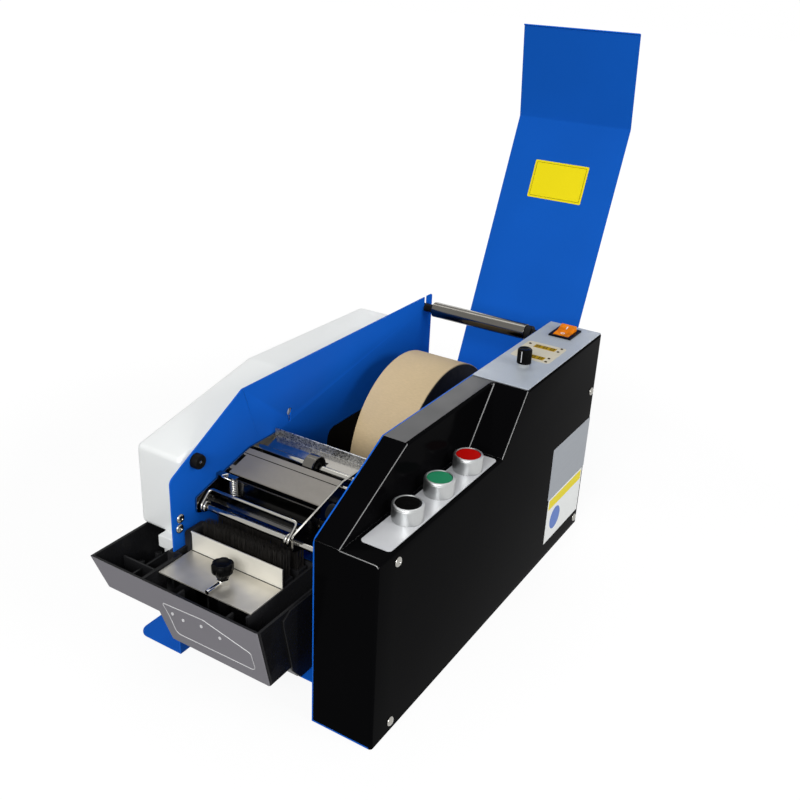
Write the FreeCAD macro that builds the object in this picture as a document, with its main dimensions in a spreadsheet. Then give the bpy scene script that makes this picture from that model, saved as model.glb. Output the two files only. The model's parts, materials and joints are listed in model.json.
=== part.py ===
import FreeCAD, Part
import math
import os
import re

import Sketcher

# Gummed tape dispenser, in millimetres. While it is built, X is measured from the outer face of the
# left side plate, Y from the front edge of the side plates and Z from the table. The last step moves
# the whole machine so that its origin is the bottom centre of its bounding box.

doc = FreeCAD.newDocument("TapeDispenser")
sheet = doc.addObject("Spreadsheet::Sheet", "Sizes")

SIZES = (
    # frame
    ("sheet_gauge", 1.5, "thickness of the side plates, pan and covers"),
    ("frame_width", 160.0, "outer faces of the two side plates"),
    ("frame_length", 457.0, "side plates, front to back"),
    ("frame_height", 247.0, "table to the top edge of the side plates"),
    ("nose_height", 193.0, "table to the front end of the sloping edge"),
    ("slope_reach", 100.0, "front edge to the back end of the sloping edge"),
    ("nose_radius", 8.0, "corner between front edge and slope"),
    ("crown_radius", 3.0, "small outer corners of sheet parts"),
    ("foot_width", 56.0, "foot flange of the left side plate"),
    ("foot_corner", 12.0, "rounded corners of the foot flange"),
    ("pad_height", 1.2, "rubber feet"),
    ("pad_radius", 9.0, "rubber feet"),
    ("pad_inset", 30.0, "feet from the front and back edges"),
    ("pad_side_inset", 14.0, "feet from the sides of the base"),
    ("fit_gap", 0.05, "running clearance of a shaft in its hole, on radius"),
    ("part_gap", 0.3, "gap between pieces that pass each other"),
    ("screw_radius", 2.0, "shank of a pan screw"),
    ("screw_head_radius", 4.6, "head of a pan screw"),
    ("screw_head", 2.2, "height of a pan screw's head"),
    ("screw_length", 8.0, "shank under the head"),
    ("back_cover_height", 135.7, "back cover above the feet"),
    ("back_lip", 14.0, "folded top of the back cover"),
    # housing
    ("housing_width", 62.0, "black housing beside the right side plate"),
    ("ridge_width", 25.0, "raised ridge along the right side plate"),
    ("shelf_height", 192.0, "table to the button shelf"),
    ("shelf_back", 218.0, "front edge to the back of the button shelf"),
    ("panel_front", 263.0, "front edge to the control panel"),
    ("bend_radius", 3.0, "folded outer edges of the housing"),
    ("panel_gauge", 1.0, "control panel and label plates"),
    ("label_side", 3.0, "label plate from the housing's right side"),
    ("label_width", 29.5, "label plate"),
    ("label_front", 21.5, "front edge to the label plate"),
    ("label_length", 190.5, "label plate"),
    ("label_corner", 4.0, "label plate corners"),
    ("cover_screw_front", 30.0, "front edge to the front pair of cover screws"),
    ("cover_screw_back", 10.5, "back edge to the back pair of cover screws"),
    ("cover_screw_low", 11.5, "table to the lower cover screws"),
    ("cover_screw_high", 180.0, "table to the upper cover screws"),
    # push buttons
    ("button_front", 72.0, "front edge to the first button"),
    ("button_pitch", 53.5, "button to button"),
    ("bezel_radius", 14.2, "metal bezel of a button"),
    ("bezel_height", 16.0, "bezel above the label plate"),
    ("bezel_neck", 11.0, "threaded neck, radius"),
    ("bezel_depth", 17.0, "neck below the label plate"),
    ("cap_radius", 11.6, "coloured cap of a button"),
    ("cap_height", 5.2, "coloured cap"),
    ("cap_recess", 0.5, "cap below the bezel's rim"),
    ("stem_radius", 6.0, "stem under the cap"),
    ("button_travel", 3.0, "how far a button goes down"),
    ("contact_width", 27.0, "contact block"),
    ("contact_height", 18.0, "contact block"),
    # knob, rocker, displays, board, inlet
    ("knob_beside", 30.7, "right plate's outer face to the knob's axis"),
    ("knob_inset", 139.5, "plates' back edge to the knob's axis"),
    ("knob_radius", 7.5, "knob"),
    ("knob_height", 15.5, "knob"),
    ("knob_lift", 3.0, "knob above the control panel"),
    ("knob_shaft", 2.5, "radius of the knob's shaft"),
    ("bush_radius", 4.0, "threaded bush of the potentiometer"),
    ("pot_radius", 8.5, "potentiometer body"),
    ("pot_height", 9.0, "potentiometer body"),
    ("rocker_beside", 29.0, "right plate's outer face to the rocker's middle"),
    ("rocker_inset", 28.5, "plates' back edge to the rocker's middle"),
    ("rocker_width", 18.0, "coloured rocker"),
    ("rocker_half", 12.2, "half the rocker's length"),
    ("rocker_tilt", 12.0, "rocker's lean to either side of level"),
    ("rocker_pin", 1.5, "radius of the rocker's pivot stubs"),
    ("rocker_frame_width", 26.0, "black frame of the rocker"),
    ("rocker_frame_length", 32.0, "black frame of the rocker"),
    ("rocker_frame_rim", 2.0, "frame above the control panel"),
    ("rocker_body_depth", 20.0, "switch body below the control panel"),
    ("display_beside", 29.3, "right plate's outer face to the displays' middle"),
    ("display_inset", 112.5, "plates' back edge to the front display"),
    ("display_pitch", 30.0, "front display to rear display"),
    ("display_width", 24.5, "display window"),
    ("display_length", 9.2, "display window"),
    ("display_height", 14.0, "display module"),
    ("board_width", 48.0, "control board"),
    ("board_length", 66.0, "control board"),
    ("board_gauge", 1.6, "control board"),
    ("inlet_beside", 31.0, "right plate's outer face to the mains inlet"),
    ("inlet_up", 45.0, "table to the mains inlet"),
    ("inlet_flange", 48.0, "mains inlet flange, width"),
    ("inlet_flange_high", 28.0, "mains inlet flange, height"),
    ("inlet_socket", 24.5, "mains inlet cavity, width"),
    ("inlet_socket_high", 16.5, "mains inlet cavity, height"),
    ("inlet_depth", 17.0, "mains inlet cavity, depth"),
    # feed unit
    ("cheek_gauge", 2.0, "cheeks of the feed unit"),
    ("cheek_left", 2.0, "left plate's outer face to the left cheek"),
    ("cheek_margin", 44.5, "right cheek's outer face to the right plate's outer face"),
    ("front_rod_along", 37.6, "front rod"),
    ("front_rod_up", 152.0, "front rod"),
    ("front_rod_radius", 3.0, "front rod"),
    ("tie_rod_along", 103.5, "tie rod"),
    ("tie_rod_up", 178.0, "tie rod"),
    ("tie_rod_radius", 2.0, "tie rod"),
    ("feed_along", 120.0, "feed shaft and pressure shaft"),
    ("pressure_up", 177.6, "pressure shaft"),
    ("pressure_radius", 4.0, "pressure shaft"),
    ("pressure_wheel_radius", 12.0, "pressure wheel"),
    ("pressure_wheel_width", 12.0, "pressure wheel"),
    ("paper_middle", 64.5, "left plate to the middle of the paper path"),
    ("wheel_across", 70.7, "left plate to the middle of feed wheel and pressure wheel"),
    ("nip_gap", 0.4, "between feed wheel and pressure wheel"),
    ("feed_wheel_radius", 16.0, "feed wheel"),
    ("feed_wheel_width", 20.0, "feed wheel"),
    ("feed_shaft_radius", 4.0, "feed shaft"),
    ("gear_module", 1.5, "drive gear and pinion"),
    ("gear_teeth", 30, "drive gear"),
    ("pinion_teeth", 12, "motor pinion"),
    ("gear_width", 7.0, "drive gear"),
    ("gear_offset", 3.5, "right side plate to the drive gear"),
    ("backlash", 0.16, "play between the gear teeth"),
    ("motor_shaft", 2.5, "radius of the motor's shaft"),
    ("motor_radius", 19.0, "gear motor body"),
    ("motor_length", 38.0, "gear motor body"),
    ("motor_bracket", 12.0, "right side plate to the motor bracket"),
    ("top_plate_front", 71.0, "sloped top plate"),
    ("top_plate_length", 34.7, "sloped top plate"),
    ("top_plate_low", 174.0, "front edge of the sloped top plate"),
    ("top_plate_rise", 9.25, "rear edge above the front edge"),
    ("top_plate_left", 8.0, "left plate to the top plate"),
    ("plate_gauge", 1.6, "guide plates"),
    ("bed_front", 68.8, "cutting edge of the feed bed"),
    ("bed_low", 150.0, "cutting edge of the feed bed"),
    ("bed_back", 156.0, "back end of the feed bed"),
    ("bed_high", 168.5, "back end of the feed bed"),
    ("guide_plate_front", 126.0, "bright rear guide plate"),
    ("guide_plate_back", 147.0, "bright rear guide plate"),
    ("guide_plate_up", 177.0, "bright rear guide plate"),
    ("guide_plate_rise", 3.0, "bright rear guide plate"),
    ("guide_plate_flange", 8.5, "its folded back edge"),
    ("bail_along", 12.0, "bail's cross wire behind the front rod"),
    ("bail_up", 10.4, "bail's cross wire above the front rod"),
    ("bail_wire", 1.5, "radius of the bail's wire"),
    ("bail_eye", 5.2, "outer radius of the bail's eyes"),
    ("bail_eye_width", 4.0, "bail's eyes"),
    ("bail_stop", 1.2, "radius of the pins the bail rests on"),
    ("bail_left", 4.5, "left plate to the bail's left eye"),
    ("bail_slack", 5.0, "bail narrower than the space between the cheeks"),
    ("blade_gauge", 2.0, "cutter blade"),
    ("blade_low", 153.0, "cutting edge of the raised blade"),
    ("blade_height", 17.5, "cutter blade"),
    ("blade_stroke", 12.0, "how far the blade comes down"),
    ("blade_arm_up", 157.0, "drive arm of the blade"),
    ("blade_arm_height", 5.0, "drive arm of the blade"),
    ("plunger_inset", 29.0, "right plate's outer face to the solenoid's plunger"),
    ("plunger_along", 78.0, "front edge to the solenoid's plunger"),
    ("plunger_radius", 5.0, "solenoid plunger"),
    ("plunger_length", 38.0, "solenoid plunger"),
    ("solenoid_width", 28.0, "cutter solenoid"),
    ("solenoid_height", 40.0, "cutter solenoid"),
    ("solenoid_up", 98.0, "cutter solenoid"),
    ("spring_across", 20.5, "left plate to the return spring"),
    ("spring_ahead", 4.0, "blade to the return spring's axis"),
    ("spring_radius", 3.8, "return spring, outside"),
    ("spring_wire", 0.6, "radius of the spring's wire"),
    ("spring_hook_up", 174.0, "underside of the spring's tab"),
    # tape roll and its carriers
    ("roll_width", 65.0, "tape"),
    ("roll_radius", 101.5, "full roll of tape"),
    ("roll_inset", 118.0, "plates' back edge to the roll's axis"),
    ("roll_up", 111.0, "table to the roll's axis"),
    ("core_radius", 19.0, "outside of the cardboard core"),
    ("core_wall", 3.0, "cardboard core"),
    ("disc_gauge", 1.2, "black side disc"),
    ("basket_angle", 35.0, "support rollers from straight below the roll"),
    ("basket_radius", 8.0, "support rollers"),
    ("basket_stub", 4.0, "support rollers' stubs"),
    ("guide_ahead", 259.0, "plates' back edge to the roll guides' front"),
    ("guide_behind", 27.0, "plates' back edge to the roll guides' back"),
    ("guide_top", 173.0, "roll guides"),
    ("guide_corner", 12.0, "roll guides"),
    ("guide_foot", 15.0, "flanges under the roll guides"),
    ("roller_inset", 15.4, "plates' back edge to the steel guide roller"),
    ("roller_drop", 13.4, "plates' top edge to the steel guide roller"),
    ("roller_radius", 9.2, "steel guide roller"),
    ("roller_wall", 2.2, "steel guide roller"),
    ("roller_left", 14.5, "left plate to the steel tube"),
    ("roller_right", 23.0, "steel tube to the right plate's outer face"),
    ("bush_depth", 11.0, "bush inside the tube"),
    ("bush_slim", 5.0, "slim part of the bushes, radius"),
    ("bush_wide", 8.4, "wide part of the right bush, radius"),
    ("bush_wide_length", 7.5, "wide part of the right bush"),
    ("slot_width", 5.6, "slots for the guide roller"),
    # water tank and bottle
    ("tank_rim", 120.0, "table to the tank's rim"),
    ("tank_wall", 2.5, "walls of the tank"),
    ("tank_left", 54.5, "tank beyond the left plate"),
    ("tank_margin", 20.0, "tank's right side to the right plate's outer face"),
    ("tank_front", 48.6, "tank ahead of the side plates"),
    ("tank_lean", 15.6, "how far the front leans back"),
    ("tank_side_lean", 11.5, "how far the left end leans in"),
    ("shallow_floor", 86.0, "underside of the shallow part"),
    ("deep_floor", 54.0, "underside of the deep part"),
    ("brush_floor", 37.0, "underside of the brush part"),
    ("deep_start", 20.0, "left plate to the deep part"),
    ("deep_slant", 7.0, "slant between shallow and deep part"),
    ("deep_back", 5.0, "deep part ends ahead of the side plates"),
    ("brush_front", 6.5, "brush part's floor starts behind the front edge"),
    ("tank_back", 60.0, "back of the tank"),
    ("tank_inset", 2.5, "left plate to the part of the tank between the plates"),
    ("arm_gap", 1.2, "tank's side arm from the left plate"),
    ("arm_back", 54.0, "back of the tank's side arm"),
    ("divider_left", 7.0, "wall beside the press plate"),
    ("divider_gauge", 3.0, "wall beside the press plate"),
    ("press_plate_gauge", 1.5, "angled steel plate"),
    ("press_plate_up", 118.0, "top of the angled plate"),
    ("press_plate_front", 29.0, "ahead of the side plates' front edge"),
    ("press_plate_back", 15.0, "behind the side plates' front edge"),
    ("press_plate_left", 10.3, "left plate to the angled plate"),
    ("press_plate_margin", 44.0, "angled plate to the right plate's outer face"),
    ("press_plate_flange", 20.0, "its upright edge"),
    ("stud_inset", 58.0, "angled plate's left edge to the tank knob"),
    ("stud_ahead", 9.2, "tank knob ahead of the side plates' front edge"),
    ("stud_radius", 2.5, "stud of the tank knob"),
    ("tray_knob_radius", 10.0, "tank knob"),
    ("tray_knob_low", 124.5, "tank knob"),
    ("tray_knob_height", 15.0, "tank knob"),
    ("nut_radius", 6.0, "hexagon nut, across its corners"),
    ("nut_height", 5.0, "hexagon nut"),
    ("nut_pin_length", 18.0, "side pin on the nut"),
    ("nut_pin_radius", 2.2, "side pin on the nut"),
    ("brush_margin", 48.0, "brushes to the right plate's outer face"),
    ("brush_left", 14.0, "left plate to the brushes"),
    ("brush_low", 100.0, "brush blocks"),
    ("brush_block", 18.0, "brush blocks"),
    ("brush_length", 28.0, "bristles"),
    ("brush_start", 22.0, "front brush"),
    ("brush_depth", 12.0, "brush blocks, front to back"),
    ("brush_pitch", 20.0, "front brush to rear brush"),
    ("bristle_depth", 9.0, "bristles, front to back"),
    ("bottle_left", 58.5, "bottle beyond the left plate"),
    ("bottle_gap", 2.0, "bottle from the left plate"),
    ("bottle_front", 18.0, "front of the bottle"),
    ("bottle_inset", 69.0, "plates' back edge to the back of the bottle"),
    ("bottle_low", 120.0, "underside of the bottle"),
    ("bottle_shoulder", 205.0, "top of the bottle's front face"),
    ("bottle_crest", 178.0, "front edge to the bottle's highest point"),
    ("bottle_high", 239.0, "table to the bottle's highest point"),
    ("bottle_tail", 236.0, "table to the bottle's back top edge"),
    ("bottle_round", 6.0, "rounded edges of the bottle"),
    ("bottle_wall", 1.8, "bottle wall"),
    ("spout_across", 24.0, "spout beyond the left plate"),
    ("spout_along", 33.0, "front edge to the spout"),
    ("spout_radius", 13.0, "spout"),
    ("spout_length", 20.0, "spout"),
    ("valve_wall", 1.8, "valve cap on the spout"),
    ("valve_depth", 6.0, "valve cap over the spout"),
    ("valve_base", 7.0, "valve cap below the spout"),
    ("shelf_start", 62.0, "front of the bottle shelf"),
    ("shelf_inset", 72.0, "plates' back edge to the back of the bottle shelf"),
    ("shelf_lip", 10.0, "outer lip of the bottle shelf"),
    ("shelf_drop", 20.0, "flange against the left plate"),
    # lid
    ("lid_gap", 3.3, "lid from the side plates' inner faces"),
    ("lid_back_gap", 2.0, "closed lid ahead of the side plates' back edge"),
    ("lid_skirt", 87.0, "rear skirt of the closed lid"),
    ("lid_lip", 3.0, "folded front edge"),
    ("lid_setback", 1.5, "closed lid behind the side plates' front edge"),
    ("lid_bend", 6.0, "bend where the lid follows the slope"),
    ("lid_pin_inset", 14.0, "plates' back edge to the hinge pin"),
    ("lid_pin_up", 156.0, "hinge pin"),
    ("lid_pin_radius", 3.0, "hinge pin"),
    ("lid_ear", 7.0, "ears round the hinge pin, radius"),
    ("lid_open", 112.4, "open lid, degrees from closed"),
    ("bumper_along", 33.0, "lid bumpers"),
    ("bumper_up", 200.5, "lid bumpers"),
    ("bumper_radius", 7.2, "lid bumpers"),
    ("bumper_length", 8.0, "lid bumpers"),
)

for row, (name, number, meaning) in enumerate(SIZES, start=1):
    sheet.set("A%d" % row, name)
    sheet.set("B%d" % row, str(number))
    sheet.set("C%d" % row, meaning)
    sheet.setAlias("B%d" % row, name)
doc.recompute()

NAMES = {name for name, number, meaning in SIZES}
NODES = {}
WORD = re.compile(r"[A-Za-z_]\w*")

# places and lengths that follow the frame: wherever such a name stands in a formula, this is put for it
FOLLOWS = {
    "lid_pin_along": "(frame_length - lid_pin_inset)",
    "roller_along": "(frame_length - roller_inset)",
    "roller_up": "(frame_height - roller_drop)",
    "roller_length": "(frame_width - roller_left - roller_right)",
    "roll_along": "(frame_length - roll_inset)",
    "guide_front": "(frame_length - guide_ahead)",
    "guide_back": "(frame_length - guide_behind)",
    "bottle_back": "(frame_length - bottle_inset)",
    "shelf_end": "(frame_length - shelf_inset)",
    "knob_along": "(frame_length - knob_inset)",
    "rocker_along": "(frame_length - rocker_inset)",
    "display_front": "(frame_length - display_inset)",
    "knob_across": "(frame_width + knob_beside)",
    "rocker_across": "(frame_width + rocker_beside)",
    "display_across": "(frame_width + display_beside)",
    "inlet_across": "(frame_width + inlet_beside)",
    "plunger_across": "(frame_width - plunger_inset)",
    "cheek_span": "(frame_width - cheek_margin - cheek_left - 2 * cheek_gauge)",
    "bail_span": "(frame_width - cheek_margin - cheek_left - 2 * cheek_gauge - bail_slack)",
    "tank_right": "(frame_width - tank_margin)",
    "press_plate_width": "(frame_width - press_plate_margin - press_plate_left)",
    "brush_width": "(frame_width - brush_margin - brush_left)",
    "stud_across": "(press_plate_left + stud_inset)",
}

# places that several pieces share
RIGHT_IN = "(frame_width - sheet_gauge)"
FLOOR = "(pad_height + sheet_gauge)"
HOUSING_RIGHT = "(frame_width + housing_width)"
SLOPE = "((frame_height - nose_height) / slope_reach)"
RECESS = "((panel_front - shelf_back) / (frame_height - shelf_height))"
LABEL_UP = "(shelf_height + panel_gauge)"
PANEL_UP = "(frame_height + panel_gauge)"
BUTTON_ACROSS = "(%s - label_side - label_width / 2)" % HOUSING_RIGHT
CHEEK_RIGHT = "(cheek_left + cheek_gauge + cheek_span)"
CHEEK_INNER = "(cheek_left + cheek_gauge)"
FEED_UP = "(pressure_up - pressure_wheel_radius - nip_gap - feed_wheel_radius)"
GEAR_LEFT = "(frame_width + gear_offset)"
GEAR_REACH = "(gear_module * (gear_teeth + pinion_teeth) / 2)"
PINION_UP = "(%s - %s)" % (FEED_UP, GEAR_REACH)
ROLL_LEFT = "(paper_middle - roll_width / 2)"
ROLL_RIGHT = "(paper_middle + roll_width / 2)"
DISC_RIGHT = "(%s + disc_gauge)" % ROLL_RIGHT
BASKET_REACH = "(roll_radius + basket_radius + part_gap)"
BLADE_FRONT = "(bed_front - part_gap - blade_gauge)"
FRONT_LEAN = "(tank_lean / (tank_rim - deep_floor))"


def bound(formula):
    """The formula with each size name turned into a reference to its cell."""
    plain = WORD.sub(lambda word: FOLLOWS.get(word.group(0), word.group(0)), str(formula))
    return WORD.sub(lambda word: "Sizes." + word.group(0) if word.group(0) in NAMES else word.group(0),
                    plain)


def size(name):
    return float(sheet.get(name))


def bind(thing, field, formula):
    thing.setExpression(field, bound(formula))


def put(thing, x, y, z):
    bind(thing, "Placement.Base.x", x)
    bind(thing, "Placement.Base.y", y)
    bind(thing, "Placement.Base.z", z)
    return thing


def slab(name, x, y, z, width, depth, height):
    """A box from its lowest corner."""
    box = doc.addObject("Part::Box", name)
    bind(box, "Length", width)
    bind(box, "Width", depth)
    bind(box, "Height", height)
    return put(box, x, y, z)


def rod(name, axis, x, y, z, radius, length):
    """A cylinder that starts at a point and runs along +X, +Y or +Z."""
    turn = {"X": ((0, 1, 0), 90), "Y": ((1, 0, 0), -90), "Z": ((0, 0, 1), 0)}[axis]
    cylinder = doc.addObject("Part::Cylinder", name)
    cylinder.Placement.Rotation = FreeCAD.Rotation(FreeCAD.Vector(*turn[0]), turn[1])
    bind(cylinder, "Radius", radius)
    bind(cylinder, "Height", length)
    return put(cylinder, x, y, z)


def origin_plane(body, role):
    return [feature for feature in body.Origin.OriginFeatures if feature.Role == role][0]


def prism(name, plane, outline, start, depth, rounds=()):
    """A closed outline on an origin plane, padded along +X (YZ), +Y (XZ) or +Z (XY).

    rounds lists (radius name, corner numbers) for the edges that run along the pad.
    """
    body = doc.addObject("PartDesign::Body", name)
    sketch = body.newObject("Sketcher::SketchObject", name + "_outline")
    sketch.AttachmentSupport = [(origin_plane(body, plane + "_Plane"), "")]
    sketch.MapMode = "FlatFace"
    away = plane == "XZ"
    bind(sketch, "AttachmentOffset.Base.z", "-(%s)" % start if away else start)
    count = len(outline)
    turns = [2 * math.pi * corner / count for corner in range(count)]
    spots = [FreeCAD.Vector(50 * math.cos(turn), 50 * math.sin(turn), 0) for turn in turns]
    for corner in range(count):
        sketch.addGeometry(Part.LineSegment(spots[corner], spots[(corner + 1) % count]))
    for corner in range(count):
        sketch.addConstraint(Sketcher.Constraint("Coincident", corner, 2, (corner + 1) % count, 1))
    for corner, (across, up) in enumerate(outline):
        for kind, formula, guess in (("DistanceX", across, spots[corner].x),
                                     ("DistanceY", up, spots[corner].y)):
            number = sketch.addConstraint(Sketcher.Constraint(kind, -1, 1, corner, 1, guess))
            sketch.setExpression("Constraints[%d]" % number, bound(formula))
    pad = body.newObject("PartDesign::Pad", name + "_pad")
    pad.Profile = sketch
    pad.Reversed = away
    bind(pad, "Length", depth)
    doc.recompute()
    base = pad
    for radius, corners in rounds:
        spots = [sketch.Placement.multVec(sketch.Geometry[corner].StartPoint) for corner in corners]
        flat = {"YZ": (0, 1, 1), "XZ": (1, 0, 1), "XY": (1, 1, 0)}[plane]
        edges = []
        for number, edge in enumerate(base.Shape.Edges, start=1):
            ends = [vertex.Point for vertex in edge.Vertexes]
            for spot in spots:
                if all(math.hypot(*[(end[i] - spot[i]) * flat[i] for i in range(3)]) < 1e-4 for end in ends):
                    edges.append("Edge%d" % number)
        fillet = body.newObject("PartDesign::Fillet", "%s_%s" % (name, radius))
        fillet.Base = (base, edges)
        bind(fillet, "Radius", radius)
        doc.recompute()
        base = fillet
    body.Tip = base
    return body


def box_outline(left, low, right, high):
    return [(left, low), (right, low), (right, high), (left, high)]


def fuse(name, pieces):
    joined = doc.addObject("Part::MultiFuse", name)
    joined.Shapes = pieces
    joined.Refine = True
    return joined


def group(name, pieces):
    """Several separate solids in one node."""
    gathered = doc.addObject("Part::Compound", name)
    gathered.Links = pieces
    return gathered


def cut(name, base, tools):
    tool = tools[0] if len(tools) == 1 else group(name + "_tools", tools)
    result = doc.addObject("Part::Cut", name)
    result.Base = base
    result.Tool = tool
    result.Refine = True
    return result


def overlap(name, one, other):
    result = doc.addObject("Part::Common", name)
    result.Base = one
    result.Tool = other
    return result


def ring(name, axis, x, y, z, outer, inner, length):
    """A tube: a cylinder with a bore right through it."""
    solid = rod(name + "_outside", axis, x, y, z, outer, length)
    bore = rod(name + "_bore", axis, x, y, z, inner, length)
    return cut(name, solid, [bore])


def soften(name, base, radius, wanted):
    """Round the edges of a finished shape for which wanted(middle, direction) is true."""
    doc.recompute()
    chosen = []
    for number, edge in enumerate(base.Shape.Edges, start=1):
        if edge.Curve.TypeId != "Part::GeomLine":
            continue
        if wanted(edge.CenterOfMass, edge.tangentAt(edge.FirstParameter)):
            chosen.append((number, size(radius), size(radius)))
    rounded = doc.addObject("Part::Fillet", name)
    rounded.Base = base
    rounded.Edges = chosen
    doc.recompute()
    return rounded


def keep(label, thing):
    """Name a finished sub-part: the label is its node and its file."""
    thing.Label = label
    NODES[label] = thing
    return thing


def plate_holes(name, left):
    """Tools for the shaft holes that both side plates share."""
    start = "(%s) - sheet_gauge" % left
    length = "3 * sheet_gauge"
    places = (
        ("front_rod", "front_rod_along", "front_rod_up", "front_rod_radius"),
        ("tie_rod", "tie_rod_along", "tie_rod_up", "tie_rod_radius"),
        ("pressure", "feed_along", "pressure_up", "pressure_radius"),
        ("feed", "feed_along", FEED_UP, "feed_shaft_radius"),
        ("lid_pin", "lid_pin_along", "lid_pin_up", "lid_pin_radius"),
    )
    tools = [rod("%s_%s_hole" % (name, what), "X", start, along, up, radius + " + fit_gap", length)
             for what, along, up, radius in places]
    tools.append(slab(name + "_roller_slot", start, "roller_along - slot_width / 2", "roller_up", length,
                      "slot_width", "frame_height"))
    tools.append(rod(name + "_roller_seat", "X", start, "roller_along", "roller_up", "slot_width / 2",
                     length))
    return tools


def plate_outline(low):
    return [("0", low), ("frame_length", low), ("frame_length", "frame_height"),
            ("slope_reach", "frame_height"), ("0", "nose_height")]


def plate_rounds():
    return (("nose_radius", (4,)), ("crown_radius", (2, 3)))


def side_plates():
    sheet_left = prism("left_sheet", "YZ", plate_outline("pad_height"), "0", "sheet_gauge",
                       plate_rounds())
    foot = prism("left_foot", "XY", box_outline("-foot_width", "0", "sheet_gauge", "frame_length"),
                 "pad_height", "sheet_gauge", (("foot_corner", (0, 3)),))
    keyhole = rod("keyhole_round", "X", "-sheet_gauge", "172", "196", "4", "3 * sheet_gauge")
    keyhole_tail = slab("keyhole_tail", "-sheet_gauge", "170.5", "185", "3 * sheet_gauge", "3", "10")
    bolts = [rod("left_bolt_hole_%d" % number, "X", "-sheet_gauge", along, up, "screw_radius",
                 "3 * sheet_gauge")
             for number, (along, up) in enumerate(LEFT_BOLTS)]
    body = fuse("left_blank", [sheet_left, foot])
    keep("left_side_plate", cut("left_plate", body, plate_holes("left", "0") + [keyhole,
                                                                                keyhole_tail] + bolts))

    sheet_right = prism("right_sheet", "YZ", plate_outline(FLOOR), RIGHT_IN, "sheet_gauge",
                        plate_rounds())
    keep("right_side_plate", cut("right_plate", sheet_right, plate_holes("right", RIGHT_IN)))


LEFT_BOLTS = (("10", "150"), ("8.5", "140"))


def base_pan():
    """Floor of the machine, with a raised shelf for the tank at the front."""
    step = "(tank_back + 6)"
    middle = slab("pan_middle", "sheet_gauge", step, "pad_height", RIGHT_IN + " - sheet_gauge",
                  "frame_length - sheet_gauge - " + step, "sheet_gauge")
    side = slab("pan_side", RIGHT_IN, "sheet_gauge", "pad_height", "housing_width - part_gap",
                "frame_length - 2 * sheet_gauge - part_gap", "sheet_gauge")
    sill = slab("pan_sill", RIGHT_IN, "0", "pad_height", HOUSING_RIGHT + " - bend_radius - " + RIGHT_IN,
                "2 * sheet_gauge", "sheet_gauge")
    riser = slab("pan_riser", "sheet_gauge", step, "pad_height", RIGHT_IN + " - sheet_gauge",
                 "sheet_gauge",
                 "brush_floor - pad_height")
    shelf = slab("pan_shelf", "sheet_gauge", "brush_front + 2", "brush_floor - sheet_gauge",
                 RIGHT_IN + " - sheet_gauge", step + " - brush_front - 2", "sheet_gauge")
    keep("base_pan", fuse("pan", [middle, side, sill, riser, shelf]))


def back_cover():
    wall = slab("back_wall", "sheet_gauge", "frame_length - sheet_gauge", "pad_height",
                RIGHT_IN + " - sheet_gauge", "sheet_gauge", "back_cover_height")
    lip = slab("back_fold", "sheet_gauge", "frame_length - back_lip",
               "pad_height + back_cover_height - sheet_gauge",
               RIGHT_IN + " - sheet_gauge", "back_lip", "sheet_gauge")
    keep("back_cover", fuse("back", [wall, lip]))


def housing_outlines(inset):
    """Side views of the ridge and of the box with the button shelf, shrunk inwards by inset."""
    low = "pad_height - 1" if inset != "0" else "pad_height"
    back = "frame_length - " + inset
    top = "frame_height - " + inset
    drop = "%s * sqrt(1 + %s * %s)" % (inset, SLOPE, SLOPE)
    ridge = [(inset, low), (back, low), (back, top),
             ("slope_reach + (%s - %s) / %s" % (drop, inset, SLOPE), top),
             (inset, "nose_height + %s * %s - %s" % (SLOPE, inset, drop))]
    shift = "%s * (sqrt(1 + %s * %s) - %s)" % (inset, RECESS, RECESS, RECESS)
    box = [(inset, low), (back, low), (back, top), ("panel_front + " + shift, top),
           ("shelf_back + " + shift, "shelf_height - " + inset), (inset, "shelf_height - " + inset)]
    return ridge, box


def button_places():
    return ["button_front + %d * button_pitch" % number for number in range(3)]


def panel_cutouts(name, low, high):
    """Tools for the openings that the housing's top and the control panel share."""
    tools = [rod(name + "_knob_hole", "Z", "knob_across", "knob_along", low, "bush_radius + fit_gap",
                 high)]
    tools.append(slab(name + "_rocker_hole", "rocker_across - rocker_frame_width / 2 + rocker_frame_rim",
                      "rocker_along - rocker_frame_length / 2 + rocker_frame_rim", low,
                      "rocker_frame_width - 2 * rocker_frame_rim",
                      "rocker_frame_length - 2 * rocker_frame_rim", high))
    for number in range(2):
        tools.append(slab("%s_display_hole_%d" % (name, number),
                          "display_across - display_width / 2 - fit_gap",
                          "display_front + %d * display_pitch - display_length / 2 - fit_gap" % number,
                          low,
                          "display_width + 2 * fit_gap", "display_length + 2 * fit_gap", high))
    return tools


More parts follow.
